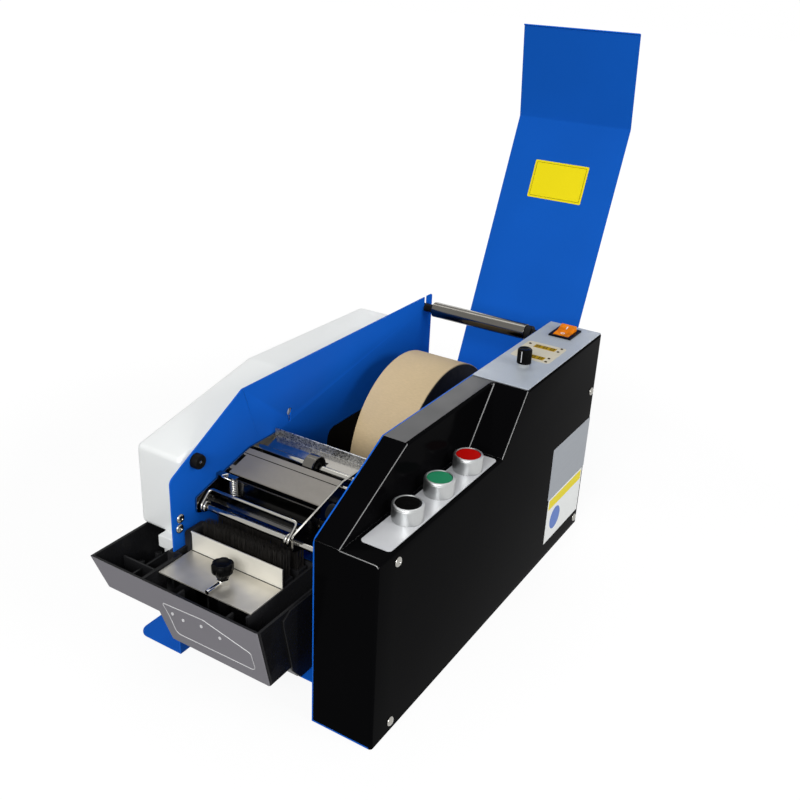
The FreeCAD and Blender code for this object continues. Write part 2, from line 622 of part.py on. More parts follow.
def housing_cover():
    ridge, box = housing_outlines("0")
    outside = fuse("housing_outside", [
        prism("housing_ridge", "YZ", ridge, "frame_width", "ridge_width"),
        prism("housing_box", "YZ", box, "frame_width", "housing_width")])
    far_right = size("frame_width") + size("housing_width")
    ridge_right = size("frame_width") + size("ridge_width")

    def folded(middle, direction):
        on_side = abs(middle.x - far_right) < 0.01
        on_ridge = abs(middle.x - ridge_right) < 0.01
        above_shelf = middle.z > size("shelf_height") + 1
        standing = abs(direction.z) > 0.99
        if on_side:
            return middle.z > size("pad_height") + 1
        if on_ridge:
            high = middle.z > size("nose_height") + 7
            return above_shelf and not standing and high and middle.y < size("panel_front") - 10
        return False

    rounded = soften("housing_rounded", outside, "bend_radius", folded)
    ridge, box = housing_outlines("sheet_gauge")
    inside = fuse("housing_inside", [
        prism("housing_ridge_inside", "YZ", ridge, "frame_width - 1", "ridge_width - sheet_gauge + 1"),
        prism("housing_box_inside", "YZ", box, "frame_width - 1", "housing_width - sheet_gauge + 1")])
    sill_gap = slab("housing_sill_gap", "frame_width - 1", "-1", "pad_height - 1",
                    "housing_width - bend_radius + part_gap + 1", "2 * sheet_gauge + 1",
                    "sheet_gauge + part_gap + 1")
    tools = [inside, sill_gap]
    for number, along in enumerate(button_places()):
        tools.append(rod("housing_button_hole_%d" % number, "Z", BUTTON_ACROSS, along,
                         "shelf_height - 2 * sheet_gauge", "bezel_neck + fit_gap", "3 * sheet_gauge"))
    tools += panel_cutouts("housing", "frame_height - 2 * sheet_gauge", "3 * sheet_gauge")
    for number, (along, up) in enumerate(COVER_SCREWS):
        tools.append(rod("housing_screw_hole_%d" % number, "X", HOUSING_RIGHT + " - 2 * sheet_gauge",
                         along, up,
                         "screw_radius", "3 * sheet_gauge"))
    tools.append(slab("housing_inlet_hole", "inlet_across - inlet_socket / 2 - sheet_gauge",
                      "frame_length - 2 * sheet_gauge", "inlet_up - inlet_socket_high / 2 - sheet_gauge",
                      "inlet_socket + 2 * sheet_gauge", "3 * sheet_gauge",
                      "inlet_socket_high + 2 * sheet_gauge"))
    keep("housing_cover", cut("housing", rounded, tools))


COVER_SCREWS = tuple((along, up)
                     for along in ("cover_screw_front", "frame_length - cover_screw_back")
                     for up in ("cover_screw_low", "cover_screw_high"))


def control_panel():
    blank = prism("panel_sheet", "XY",
                  box_outline("frame_width", "panel_front + 1", HOUSING_RIGHT + " - 1",
                              "frame_length - 0.5"),
                  "frame_height", "panel_gauge", (("panel_gauge", (1, 2)),))
    keep("panel_plate", cut("panel", blank, panel_cutouts("panel", "frame_height - 1",
                                                          "panel_gauge + 2")))

    left = BUTTON_ACROSS + " - label_width / 2"
    label = prism("label_sheet", "XY",
                  box_outline(left, "label_front", left + " + label_width", "label_front + label_length"),
                  "shelf_height", "panel_gauge", (("label_corner", (0, 1, 2, 3)),))
    holes = [rod("label_hole_%d" % number, "Z", BUTTON_ACROSS, along, "shelf_height - 1",
                 "bezel_neck + fit_gap", "panel_gauge + 2")
             for number, along in enumerate(button_places())]
    keep("button_label_plate", cut("label", label, holes))


def pan_screw(name, axis, x, y, z, outwards):
    """One pan screw: (x, y, z) is under its head and the head points outwards along the axis."""
    spot = {"X": [x, y, z], "Y": [x, y, z]}[axis]
    which = "XYZ".index(axis)
    head_spot = list(spot)
    shank_spot = list(spot)
    if outwards > 0:
        shank_spot[which] = "(%s) - screw_length" % spot[which]
    else:
        head_spot[which] = "(%s) - screw_head" % spot[which]
    head = rod(name + "_head", axis, *head_spot, "screw_head_radius", "screw_head")
    shank = rod(name + "_shank", axis, *shank_spot, "screw_radius", "screw_length")
    return fuse(name, [head, shank])


def pan_screws():
    screws = [pan_screw("cover_screw_%d" % number, "X", HOUSING_RIGHT, along, up, 1)
              for number, (along, up) in enumerate(COVER_SCREWS)]
    screws += [pan_screw("left_bolt_%d" % number, "X", "sheet_gauge", along, up, 1)
               for number, (along, up) in enumerate(LEFT_BOLTS)]
    keep("pan_screws", group("pan_screw_set", screws))


def push_buttons():
    bezels = []
    blocks = []
    neck_low = LABEL_UP + " - bezel_depth"
    cap_top = "(%s + bezel_height - cap_recess)" % LABEL_UP
    for number, (along, label) in enumerate(zip(button_places(), ("black", "green", "red"))):
        head = rod(label + "_bezel_head", "Z", BUTTON_ACROSS, along, LABEL_UP, "bezel_radius",
                   "bezel_height")
        neck = rod(label + "_bezel_neck", "Z", BUTTON_ACROSS, along, neck_low, "bezel_neck",
                   "bezel_depth")
        well = rod(label + "_bezel_well", "Z", BUTTON_ACROSS, along,
                   cap_top + " - cap_height - button_travel - part_gap", "cap_radius + fit_gap",
                   "bezel_height")
        bore = rod(label + "_bezel_bore", "Z", BUTTON_ACROSS, along, neck_low, "stem_radius + fit_gap",
                   "bezel_depth + bezel_height")
        solid = fuse(label + "_bezel_blank", [head, neck])
        bezels.append(cut(label + "_bezel", solid, [well, bore]))
        cap = rod(label + "_cap_disc", "Z", BUTTON_ACROSS, along, cap_top + " - cap_height", "cap_radius",
                  "cap_height")
        stem = rod(label + "_cap_stem", "Z", BUTTON_ACROSS, along,
                   neck_low + " + button_travel + part_gap",
                   "stem_radius", cap_top + " - (%s) - button_travel - part_gap" % neck_low)
        keep(label + "_button_cap", fuse(label + "_cap", [cap, stem]))
        blocks.append(slab(label + "_contact_block", BUTTON_ACROSS + " - contact_width / 2",
                           along + " - contact_width / 2", neck_low + " - contact_height",
                           "contact_width",
                           "contact_width", "contact_height"))
    keep("button_bezels", group("bezel_set", bezels))
    keep("button_contact_blocks", group("block_set", blocks))


def panel_knob():
    low = "frame_height - sheet_gauge - pot_height"
    body = rod("pot_body", "Z", "knob_across", "knob_along", low, "pot_radius", "pot_height")
    bush = rod("pot_bush", "Z", "knob_across", "knob_along", low, "bush_radius",
               "pot_height + sheet_gauge + panel_gauge + knob_lift - part_gap")
    nut = doc.addObject("Part::Prism", "pot_nut")
    nut.Polygon = 6
    bind(nut, "Circumradius", "nut_radius")
    bind(nut, "Height", "knob_lift - 2 * part_gap")
    put(nut, "knob_across", "knob_along", PANEL_UP)
    bore = rod("pot_bore", "Z", "knob_across", "knob_along", low + " + 2", "knob_shaft + fit_gap",
               "frame_height")
    keep("potentiometer", cut("pot", fuse("pot_blank", [body, bush, nut]), [bore]))

    knob = rod("knob_body", "Z", "knob_across", "knob_along", PANEL_UP + " + knob_lift", "knob_radius",
               "knob_height")
    shaft = rod("knob_stem", "Z", "knob_across", "knob_along", low + " + 2 + part_gap", "knob_shaft",
                "pot_height + sheet_gauge + panel_gauge + knob_lift - 2")
    mark = slab("knob_groove", "knob_across - 0.6", "knob_along - knob_radius - 1",
                PANEL_UP + " + knob_lift + knob_height - 1", "1.2", "knob_radius", "2")
    keep("length_knob", cut("knob", fuse("knob_blank", [knob, shaft]), [mark]))


def rocker_switch():
    pivot_up = "(%s - 1)" % PANEL_UP
    body_width = "(rocker_frame_width - 2 * rocker_frame_rim - 2 * fit_gap)"
    body_length = "(rocker_frame_length - 2 * rocker_frame_rim - 2 * fit_gap)"
    rim = slab("rocker_rim", "rocker_across - rocker_frame_width / 2",
               "rocker_along - rocker_frame_length / 2",
               PANEL_UP, "rocker_frame_width", "rocker_frame_length", "rocker_frame_rim")
    body = slab("rocker_box", "rocker_across - %s / 2" % body_width,
                "rocker_along - %s / 2" % body_length,
                PANEL_UP + " - rocker_body_depth", body_width, body_length, "rocker_body_depth")
    well = slab("rocker_well", "rocker_across - rocker_width / 2 - part_gap",
                "rocker_along - rocker_half - 1.3",
                PANEL_UP + " - 12", "rocker_width + 2 * part_gap", "2 * rocker_half + 2.6", "20")
    pivot = rod("rocker_pivot_hole", "X", "rocker_across - rocker_width / 2 - 1.5", "rocker_along",
                pivot_up,
                "rocker_pin + fit_gap", "rocker_width + 3")
    keep("rocker_frame", cut("rocker_case", fuse("rocker_blank", [rim, body]), [well, pivot]))

    lever = prism("rocker_lever_body", "YZ", [
        ("rocker_along - rocker_half", pivot_up + " - 3"),
        ("rocker_along", pivot_up + " - 6"),
        ("rocker_along + rocker_half", pivot_up + " - 3"),
        ("rocker_along + rocker_half", pivot_up + " + 6"),
        ("rocker_along", pivot_up + " + 4"),
        ("rocker_along - rocker_half", pivot_up + " + 6")],
        "rocker_across - rocker_width / 2", "rocker_width")
    pin = rod("rocker_stubs", "X", "rocker_across - rocker_width / 2 - 1.2", "rocker_along", pivot_up,
              "rocker_pin",
              "rocker_width + 2.4")
    rocker = keep("rocker_lever", fuse("rocker", [lever, pin]))
    turn_about_x(rocker, "rocker_along", pivot_up, "rocker_tilt")


def turn_about_x(thing, along, up, angle):
    """Turn a sub-part about an axis along X, through its Placement."""
    thing.Placement.Rotation = FreeCAD.Rotation(FreeCAD.Vector(1, 0, 0), 1)
    bind(thing, "Placement.Rotation.Angle", angle)
    bind(thing, "Placement.Base.y", "(%s) * (1 - cos(%s)) + (%s) * sin(%s)" % (along, angle, up, angle))
    bind(thing, "Placement.Base.z", "(%s) * (1 - cos(%s)) - (%s) * sin(%s)" % (up, angle, along, angle))


def electronics():
    board_up = "(%s + 0.4 - display_height)" % PANEL_UP
    displays = [slab("display_%d" % number, "display_across - display_width / 2",
                     "display_front + %d * display_pitch - display_length / 2" % number, board_up,
                     "display_width", "display_length", "display_height") for number in range(2)]
    keep("display_modules", group("display_set", displays))

    left = "(display_across - board_width / 2)"
    front = "(display_front + display_pitch / 2 - board_length / 2 + 6)"
    board = slab("board_sheet", left, front, board_up + " - board_gauge", "board_width", "board_length",
                 "board_gauge")
    posts = [rod("board_post_%d" % number, "Z", left + " + " + across, front + " + " + along, board_up,
                 "3",
                 "frame_height - sheet_gauge - " + board_up)
             for number, (across, along) in enumerate((("5", "5"), ("board_width - 5", "5"),
                                                       ("5", "board_length - 5"),
                                                       ("board_width - 5", "board_length - 5")))]
    relay = slab("board_transformer", left + " + 8", front + " + 26", board_up + " - board_gauge - 24",
                 "30", "30",
                 "24")
    keep("control_board", fuse("board", [board, relay] + posts))

    def centred(name, width, height, start, depth):
        return slab(name, "inlet_across - (%s) / 2" % width, start, "inlet_up - (%s) / 2" % height, width,
                    depth,
                    height)

    flange = centred("inlet_plate", "inlet_flange", "inlet_flange_high", "frame_length", "2.5")
    shell = centred("inlet_shell", "inlet_socket + 2 * sheet_gauge - 2 * fit_gap",
                    "inlet_socket_high + 2 * sheet_gauge - 2 * fit_gap",
                    "frame_length - inlet_depth - 6", "inlet_depth + 6")
    socket = centred("inlet_cavity", "inlet_socket", "inlet_socket_high",
                     "frame_length + 2.5 - inlet_depth",
                     "inlet_depth")
    pins = [slab("inlet_pin_%d" % number, "inlet_across - 1 + %d * 7" % (number - 1),
                 "frame_length + 2.5 - inlet_depth - 1", "inlet_up - 2 + %d" % (2 if number == 1 else -2),
                 "2",
                 "inlet_depth - 3", "4") for number in range(3)]
    hollow = cut("inlet_hollow", fuse("inlet_blank", [flange, shell]), [socket])
    keep("mains_inlet", fuse("inlet", [hollow] + pins))


def gear_shape(module, teeth, width, first, play):
    """A spur gear about the X axis with involute flanks; a tooth points at the angle first."""
    pitch = module * teeth / 2
    outer = pitch + 0.95 * module
    root = pitch - 1.2 * module
    base = pitch * math.cos(math.radians(20))

    def involute(radius):
        turn = math.sqrt(max(radius * radius / (base * base) - 1, 0))
        return turn - math.atan(turn)

    half = math.pi / (2 * teeth) - play / (2 * pitch)
    corners = []
    start = max(root, base)
    for tooth in range(teeth):
        middle = math.radians(first) + 2 * math.pi * tooth / teeth
        radii = [start + (outer - start) * step / 3 for step in range(4)]
        lean = [half + involute(pitch) - involute(radius) for radius in radii]
        flank = [(root, lean[0])] + list(zip(radii, lean))
        for radius, angle in flank:
            corners.append((radius, middle - angle))
        for radius, angle in reversed(flank):
            corners.append((radius, middle + angle))
    points = [FreeCAD.Vector(0, radius * math.cos(angle), radius * math.sin(angle)) for radius,
              angle in corners]
    face = Part.Face(Part.makePolygon(points + points[:1]))
    return face.extrude(FreeCAD.Vector(width, 0, 0))


def gear(label, teeth, first, x, y, z, bore):
    """A gear as a plain shape, because its flanks are a formula and not a sketch."""
    blank = doc.addObject("Part::Feature", label + "_teeth")
    blank.Shape = gear_shape(size("gear_module"), int(size(teeth)), size("gear_width"), first,
                             size("backlash"))
    put(blank, x, y, z)
    return cut(label + "_cut", blank, [rod(label + "_bore", "X", "(%s) - 1" % x, y, z, bore,
                                           "gear_width + 2")])


def drive():
    keep("feed_shaft", rod("feed_axle", "X", "0", "feed_along", FEED_UP, "feed_shaft_radius",
                           GEAR_LEFT + " + gear_width + 1"))
    wheel_left = "wheel_across - feed_wheel_width / 2"
    keep("feed_wheel", ring("feed_tyre", "X", wheel_left, "feed_along", FEED_UP, "feed_wheel_radius",
                            "feed_shaft_radius", "feed_wheel_width"))
    keep("drive_gear", gear("big_gear", "gear_teeth", -90, GEAR_LEFT, "feed_along", FEED_UP,
                            "feed_shaft_radius"))

    half_tooth = 180.0 / size("pinion_teeth")
    pinion = gear("small_gear", "pinion_teeth", 90 + half_tooth, GEAR_LEFT, "feed_along", PINION_UP, "1")
    axle = rod("pinion_axle", "X", GEAR_LEFT + " - 1", "feed_along", PINION_UP, "motor_shaft",
               "motor_bracket - gear_offset + sheet_gauge + 9")
    keep("motor_pinion", fuse("pinion", [pinion, axle]))

    bracket_left = "(frame_width + motor_bracket)"
    body = rod("motor_can", "X", bracket_left + " + sheet_gauge", "feed_along", PINION_UP, "motor_radius",
               "motor_length")
    plate = slab("motor_plate", bracket_left, "feed_along - 36", PINION_UP + " - 22", "sheet_gauge", "72",
                 "44")
    posts = [rod("motor_post_%d" % number, "X", "frame_width", "feed_along + " + along,
                 PINION_UP + " + " + up,
                 "3", "motor_bracket")
             for number, (along, up) in enumerate((("-31", "-17"), ("31", "-17"), ("-31", "17"), ("31",
                                                                                                  "17")))]
    hole = rod("motor_bore", "X", "frame_width", "feed_along", PINION_UP, "motor_shaft + fit_gap",
               "motor_bracket + sheet_gauge + 9")
    keep("drive_motor", cut("motor", fuse("motor_blank", [body, plate] + posts), [hole]))


def feed_cheeks():
    slope = "(top_plate_rise / top_plate_length)"
    nose = "(front_rod_along - 8)"
    outline = [
        (nose, "front_rod_up - 5"),
        ("front_rod_along + 8", "front_rod_up - 10"),
        ("bed_front - 6", "bed_low - 20"),
        ("feed_along", FEED_UP + " - 14"),
        ("bed_back - 4", "bed_high - 12"),
        ("bed_back - 4", "guide_plate_up + guide_plate_rise + 3"),
        ("top_plate_front + top_plate_length", "top_plate_low + top_plate_rise"),
        (nose, "top_plate_low - %s * (top_plate_front - %s)" % (slope, nose)),
    ]
    reach = "sqrt(bail_along * bail_along + bail_up * bail_up)"
    below = "(bail_wire + bail_stop + fit_gap) / " + reach
    stop_along = "front_rod_along + 0.7 * bail_along + bail_up * %s" % below
    stop_up = "front_rod_up + 0.7 * bail_up - bail_along * %s" % below
    for side, left in (("left", "cheek_left"), ("right", CHEEK_RIGHT)):
        start = left + " - 1"
        length = "cheek_gauge + 2"
        blank = prism("cheek_%s_sheet" % side, "YZ", outline, left, "cheek_gauge",
                      (("crown_radius", (0, 4, 7)),))
        if side == "left":
            stop_start = "cheek_left"
            stop_end = "(bail_left + bail_eye_width)"
        else:
            stop_start = "(bail_left + bail_span - bail_eye_width)"
            stop_end = "(%s + cheek_gauge)" % CHEEK_RIGHT
        stop = rod("bail_stop_" + side, "X", stop_start, stop_along, stop_up, "bail_stop",
                   stop_end + " - " + stop_start)
        tools = [
            rod("cheek_%s_front_hole" % side, "X", start, "front_rod_along", "front_rod_up",
                "front_rod_radius + fit_gap", length),
            rod("cheek_%s_tie_hole" % side, "X", start, "tie_rod_along", "tie_rod_up",
                "tie_rod_radius + fit_gap",
                length),
            rod("cheek_%s_pressure_hole" % side, "X", start, "feed_along", "pressure_up",
                "pressure_radius + fit_gap", length),
            rod("cheek_%s_feed_hole" % side, "X", start, "feed_along", FEED_UP,
                "feed_shaft_radius + fit_gap",
                length)]
        if side == "right":
            tools.append(slab("cheek_arm_slot", start, BLADE_FRONT + " - part_gap",
                              "blade_arm_up - blade_stroke - 1", length, "blade_gauge + 2 * part_gap",
                              "blade_arm_height + blade_stroke + 2"))
            keep("feed_cheek_right", cut("cheek_right", fuse("cheek_right_blank", [blank, stop]), tools))
        else:
            tab = slab("spring_tab", CHEEK_INNER + " - 0.5",
                       BLADE_FRONT + " - spring_ahead - 3", "spring_hook_up",
                       "spring_across + 4 - cheek_left - cheek_gauge + 0.5", "6", "plate_gauge")
            ear = slab("spring_ear", "cheek_left", BLADE_FRONT + " - spring_ahead - 3",
                       "top_plate_low - 8",
                       "cheek_gauge", "6", "spring_hook_up + plate_gauge - top_plate_low + 8")
            keep("feed_cheek_left", cut("cheek_left", fuse("cheek_left_blank", [blank, tab, ear, stop]),
                                        tools))


def feed_plates():
    back = "(top_plate_front + top_plate_length)"
    high = "(top_plate_low + top_plate_rise)"
    left = "(cheek_left + cheek_gauge)"
    sheet_top = prism("top_sheet", "YZ", [
        ("top_plate_front", "top_plate_low - plate_gauge"), (back, high + " - plate_gauge"),
        (back, high), ("top_plate_front", "top_plate_low")],
        "top_plate_left", CHEEK_RIGHT + " - top_plate_left")
    slope = "(top_plate_rise / top_plate_length)"
    tabs = []
    for number, start in enumerate(("5", "top_plate_length - 9")):
        front = "(top_plate_front + %s)" % start
        low = "(top_plate_low + (%s) * %s)" % (start, slope)
        tabs.append(prism("top_tab_%d" % number, "YZ", [
            (front, low + " - plate_gauge"), (front + " + 4", low + " + 4 * %s - plate_gauge" % slope),
            (front + " + 4", low + " + 4 * %s" % slope), (front, low)],
            left, "top_plate_left - %s + 1" % left))
    keep("top_plate", fuse("top", [sheet_top] + tabs))

    rise_end = "(guide_plate_up + guide_plate_rise)"
    guide = prism("guide_sheet", "YZ", [
        ("guide_plate_front", "guide_plate_up - plate_gauge"),
        ("guide_plate_back", rise_end + " - plate_gauge"),
        ("guide_plate_back", rise_end + " + guide_plate_flange"),
        ("guide_plate_back - plate_gauge", rise_end + " + guide_plate_flange"),
        ("guide_plate_back - plate_gauge", rise_end),
        ("guide_plate_front", "guide_plate_up")],
        left, "cheek_span", (("plate_gauge", (1,)),))
    notch = slab("guide_notch", "wheel_across - pressure_wheel_width / 2 - 2", "guide_plate_front - 1",
                 "guide_plate_up - 10", "pressure_wheel_width + 4",
                 "feed_along + pressure_wheel_radius + 2 - guide_plate_front", "20")
    keep("rear_guide_plate", cut("guide", guide, [notch]))

    bend_y = "(feed_along - 4)"
    bend_z = "(%s + feed_wheel_radius - 1.4)" % FEED_UP
    bed = prism("bed_sheet", "YZ", [
        ("bed_front", "bed_low - plate_gauge"), (bend_y, bend_z + " - plate_gauge"),
        ("bed_back", "bed_high - plate_gauge"), ("bed_back", "bed_high"), (bend_y, bend_z),
        ("bed_front", "bed_low")], left, "cheek_span")
    window = slab("bed_window", "wheel_across - feed_wheel_width / 2 - 1",
                  "feed_along - feed_wheel_radius",
                  FEED_UP, "feed_wheel_width + 2", "2 * feed_wheel_radius", "40")
    keep("feed_bed", cut("bed", bed, [window]))


def feed_rods():
    across = "frame_width"
    keep("front_rod", rod("front_bar", "X", "0", "front_rod_along", "front_rod_up", "front_rod_radius",
                          across))
    keep("tie_rod", rod("tie_bar", "X", "0", "tie_rod_along", "tie_rod_up", "tie_rod_radius", across))
    keep("pressure_shaft", rod("pressure_bar", "X", "0", "feed_along", "pressure_up", "pressure_radius",
                               across))
    keep("pressure_wheel", ring("pressure_tyre", "X", "wheel_across - pressure_wheel_width / 2",
                                "feed_along",
                                "pressure_up", "pressure_wheel_radius", "pressure_radius + fit_gap",
                                "pressure_wheel_width"))


def hold_down_bail():
    """A wire loop on two eyes that lies over the paper behind the front rod."""
    left = "(bail_left + bail_eye_width / 2)"
    right = "(bail_left + bail_span - bail_eye_width / 2)"
    far_along = "(front_rod_along + bail_along)"
    far_up = "(front_rod_up + bail_up)"
    pieces = [rod("bail_cross", "X", left, far_along, far_up, "bail_wire", right + " - " + left)]
    for side, middle, start in (("left", left, "bail_left"),
                                ("right", right, right + " - bail_eye_width / 2")):
        corner = doc.addObject("Part::Sphere", "bail_corner_" + side)
        bind(corner, "Radius", "1.2 * bail_wire")
        pieces.append(put(corner, middle, far_along, far_up))
        arm = rod("bail_arm_" + side, "Z", middle, "front_rod_along", "front_rod_up", "bail_wire",
                  "sqrt(bail_along * bail_along + bail_up * bail_up)")
        arm.Placement.Rotation = FreeCAD.Rotation(FreeCAD.Vector(-1, 0, 0), 45)
        bind(arm, "Placement.Rotation.Angle", "90 deg - atan(bail_up / bail_along)")
        pieces.append(arm)
        pieces.append(rod("bail_eye_" + side, "X", start, "front_rod_along", "front_rod_up", "bail_eye",
                          "bail_eye_width"))
    bore = rod("bail_bore", "X", "0", "front_rod_along", "front_rod_up", "front_rod_radius + fit_gap",
               "frame_width")
    keep("hold_down_bail", cut("bail", fuse("bail_blank", pieces), [bore]))


def cutter():
    left = "(cheek_left + cheek_gauge + 5)"
    width = CHEEK_RIGHT + " - 0.5 - " + left
    blade = slab("blade_sheet", left, BLADE_FRONT, "blade_low", width, "blade_gauge", "blade_height")
    arm = slab("blade_arm", CHEEK_RIGHT + " - 2", BLADE_FRONT, "blade_arm_up",
               "plunger_across - plunger_radius + 2 - " + CHEEK_RIGHT, "blade_gauge", "blade_arm_height")
    seat = slab("blade_seat", "plunger_across - plunger_radius - 1", BLADE_FRONT, "blade_arm_up",
                "2 * plunger_radius + 2", "plunger_along + plunger_radius + 1 - " + BLADE_FRONT,
                "blade_arm_height")
    lug = slab("blade_lug", "spring_across - spring_radius",
               BLADE_FRONT + " - spring_ahead - spring_radius",
               "blade_low + 0.5", "2 * spring_radius", "spring_ahead + spring_radius + 0.5", "2")
    keep("moving_blade", fuse("blade", [blade, arm, seat, lug]))

    keep("solenoid_plunger", rod("plunger", "Z", "plunger_across", "plunger_along",
                                 "blade_arm_up - plunger_length",
                                 "plunger_radius", "plunger_length"))
    coil = slab("solenoid_coil", "plunger_across - solenoid_width / 2 + 3",
                "plunger_along - solenoid_width / 2",
                "solenoid_up", "solenoid_width", "solenoid_width", "solenoid_height")
    foot = slab("solenoid_foot", "plunger_across + solenoid_width / 2 + 2",
                "plunger_along - solenoid_width / 2",
                "solenoid_up", RIGHT_IN + " - plunger_across - solenoid_width / 2 - 2", "solenoid_width",
                "sheet_gauge")
    flange = slab("solenoid_flange", RIGHT_IN + " - sheet_gauge", "plunger_along - solenoid_width / 2",
                  "solenoid_up - 12", "sheet_gauge", "solenoid_width", "12 + sheet_gauge")
    bore = rod("solenoid_bore", "Z", "plunger_across", "plunger_along", "solenoid_up + 3",
               "plunger_radius + fit_gap",
               "solenoid_height")
    keep("cutter_solenoid", cut("solenoid", fuse("solenoid_blank", [coil, foot, flange]), [bore]))

    low = "(blade_low + 2.5)"
    length = "(spring_hook_up - %s)" % low
    spring_y = BLADE_FRONT + " - spring_ahead"
    spring = doc.addObject("Part::Helix", "spring_path")
    bind(spring, "Radius", "spring_radius - spring_wire")
    bind(spring, "Pitch", "3.2 * spring_wire")
    bind(spring, "Height", length + " - 2 * spring_wire")
    put(spring, "spring_across", spring_y, low + " + spring_wire")
    wire = doc.addObject("Part::Circle", "spring_section")
    bind(wire, "Radius", "spring_wire")
    wire.Placement.Rotation = FreeCAD.Rotation(FreeCAD.Vector(1, 0, 0), 90)
    put(wire, "spring_across + spring_radius - spring_wire", spring_y, low + " + spring_wire")
    sweep = doc.addObject("Part::Sweep", "spring_sweep")
    sweep.Sections = [wire]
    sweep.Spine = (spring, ["Edge1"])
    sweep.Solid = True
    sweep.Frenet = True
    keep("cutter_spring", sweep)


def roll_guides():
    foot_z = FLOOR
    for side, left, foot_left in (
            ("left", ROLL_LEFT + " - part_gap - sheet_gauge",
             ROLL_LEFT + " - part_gap - sheet_gauge - guide_foot"),
            ("right", DISC_RIGHT + " + part_gap", DISC_RIGHT + " + part_gap")):
        wall = prism("guide_wall_" + side, "YZ",
                     box_outline("guide_front", foot_z, "guide_back", "guide_top"),
                     left, "sheet_gauge", (("guide_corner", (2, 3)),))
        foot = slab("guide_foot_" + side, foot_left, "guide_front", foot_z, "guide_foot + sheet_gauge",
                    "guide_back - guide_front", "sheet_gauge")
        holes = [rod("guide_hole_%s_%s" % (side, where), "X", "(%s) - 1" % left, basket_along(where),
                     BASKET_UP,
                     "basket_stub + fit_gap", "sheet_gauge + 2") for where in ("front", "rear")]
        keep("roll_guide_" + side, cut("guide_" + side, fuse("guide_blank_" + side, [wall, foot]), holes))


BASKET_UP = "(roll_up - %s * cos(basket_angle))" % BASKET_REACH


def basket_along(where):
    sign = {"front": "-", "rear": "+"}[where]
    return "(roll_along %s %s * sin(basket_angle))" % (sign, BASKET_REACH)


def basket_rollers():
    for where in ("front", "rear"):
        body = rod(where + "_roller_body", "X", ROLL_LEFT, basket_along(where), BASKET_UP,
                   "basket_radius",
                   "roll_width + disc_gauge")
        stub = rod(where + "_roller_stub", "X", ROLL_LEFT + " - part_gap - sheet_gauge",
                   basket_along(where),
                   BASKET_UP, "basket_stub", "roll_width + disc_gauge + 2 * (part_gap + sheet_gauge)")
        keep(where + "_basket_roller", fuse(where + "_roller", [body, stub]))


def tape():
    keep("tape_roll", ring("paper", "X", ROLL_LEFT, "roll_along", "roll_up", "roll_radius", "core_radius",
                           "roll_width"))
    keep("tape_core", ring("core", "X", ROLL_LEFT, "roll_along", "roll_up", "core_radius",
                           "core_radius - core_wall", "roll_width"))
    keep("roll_side_disc", ring("disc", "X", ROLL_RIGHT, "roll_along", "roll_up", "roll_radius - 1",
                                "core_radius - core_wall", "disc_gauge"))


def guide_roller():
    keep("guide_roller_tube", ring("roller_tube", "X", "roller_left", "roller_along", "roller_up",
                                   "roller_radius", "roller_radius - roller_wall", "roller_length"))
    inner = "roller_radius - roller_wall - fit_gap"
    neck = "slot_width / 2 - fit_gap"
    right = "(roller_left + roller_length)"

    def step(name, start, end, radius):
        return rod(name, "X", start, "roller_along", "roller_up", radius, "(%s) - (%s)" % (end, start))

    left_bush = fuse("bush_left", [
        step("bush_left_cap", "-3", "-fit_gap", "bush_slim"),
        step("bush_left_neck", "-1", "sheet_gauge + 1", neck),
        step("bush_left_body", "sheet_gauge + fit_gap", "roller_left - part_gap", "bush_slim"),
        step("bush_left_stub", "roller_left - 1", "roller_left + bush_depth", inner)])
    right_bush = fuse("bush_right", [
        step("bush_right_stub", right + " - bush_depth", right + " + 1", inner),
        step("bush_right_wide", right + " + part_gap", right + " + bush_wide_length", "bush_wide"),
        step("bush_right_body", right + " + bush_wide_length - 1", RIGHT_IN + " - fit_gap", "bush_slim"),
        step("bush_right_neck", RIGHT_IN + " - 1", "frame_width", neck)])
    keep("guide_roller_bushes", group("bush_set", [left_bush, right_bush]))


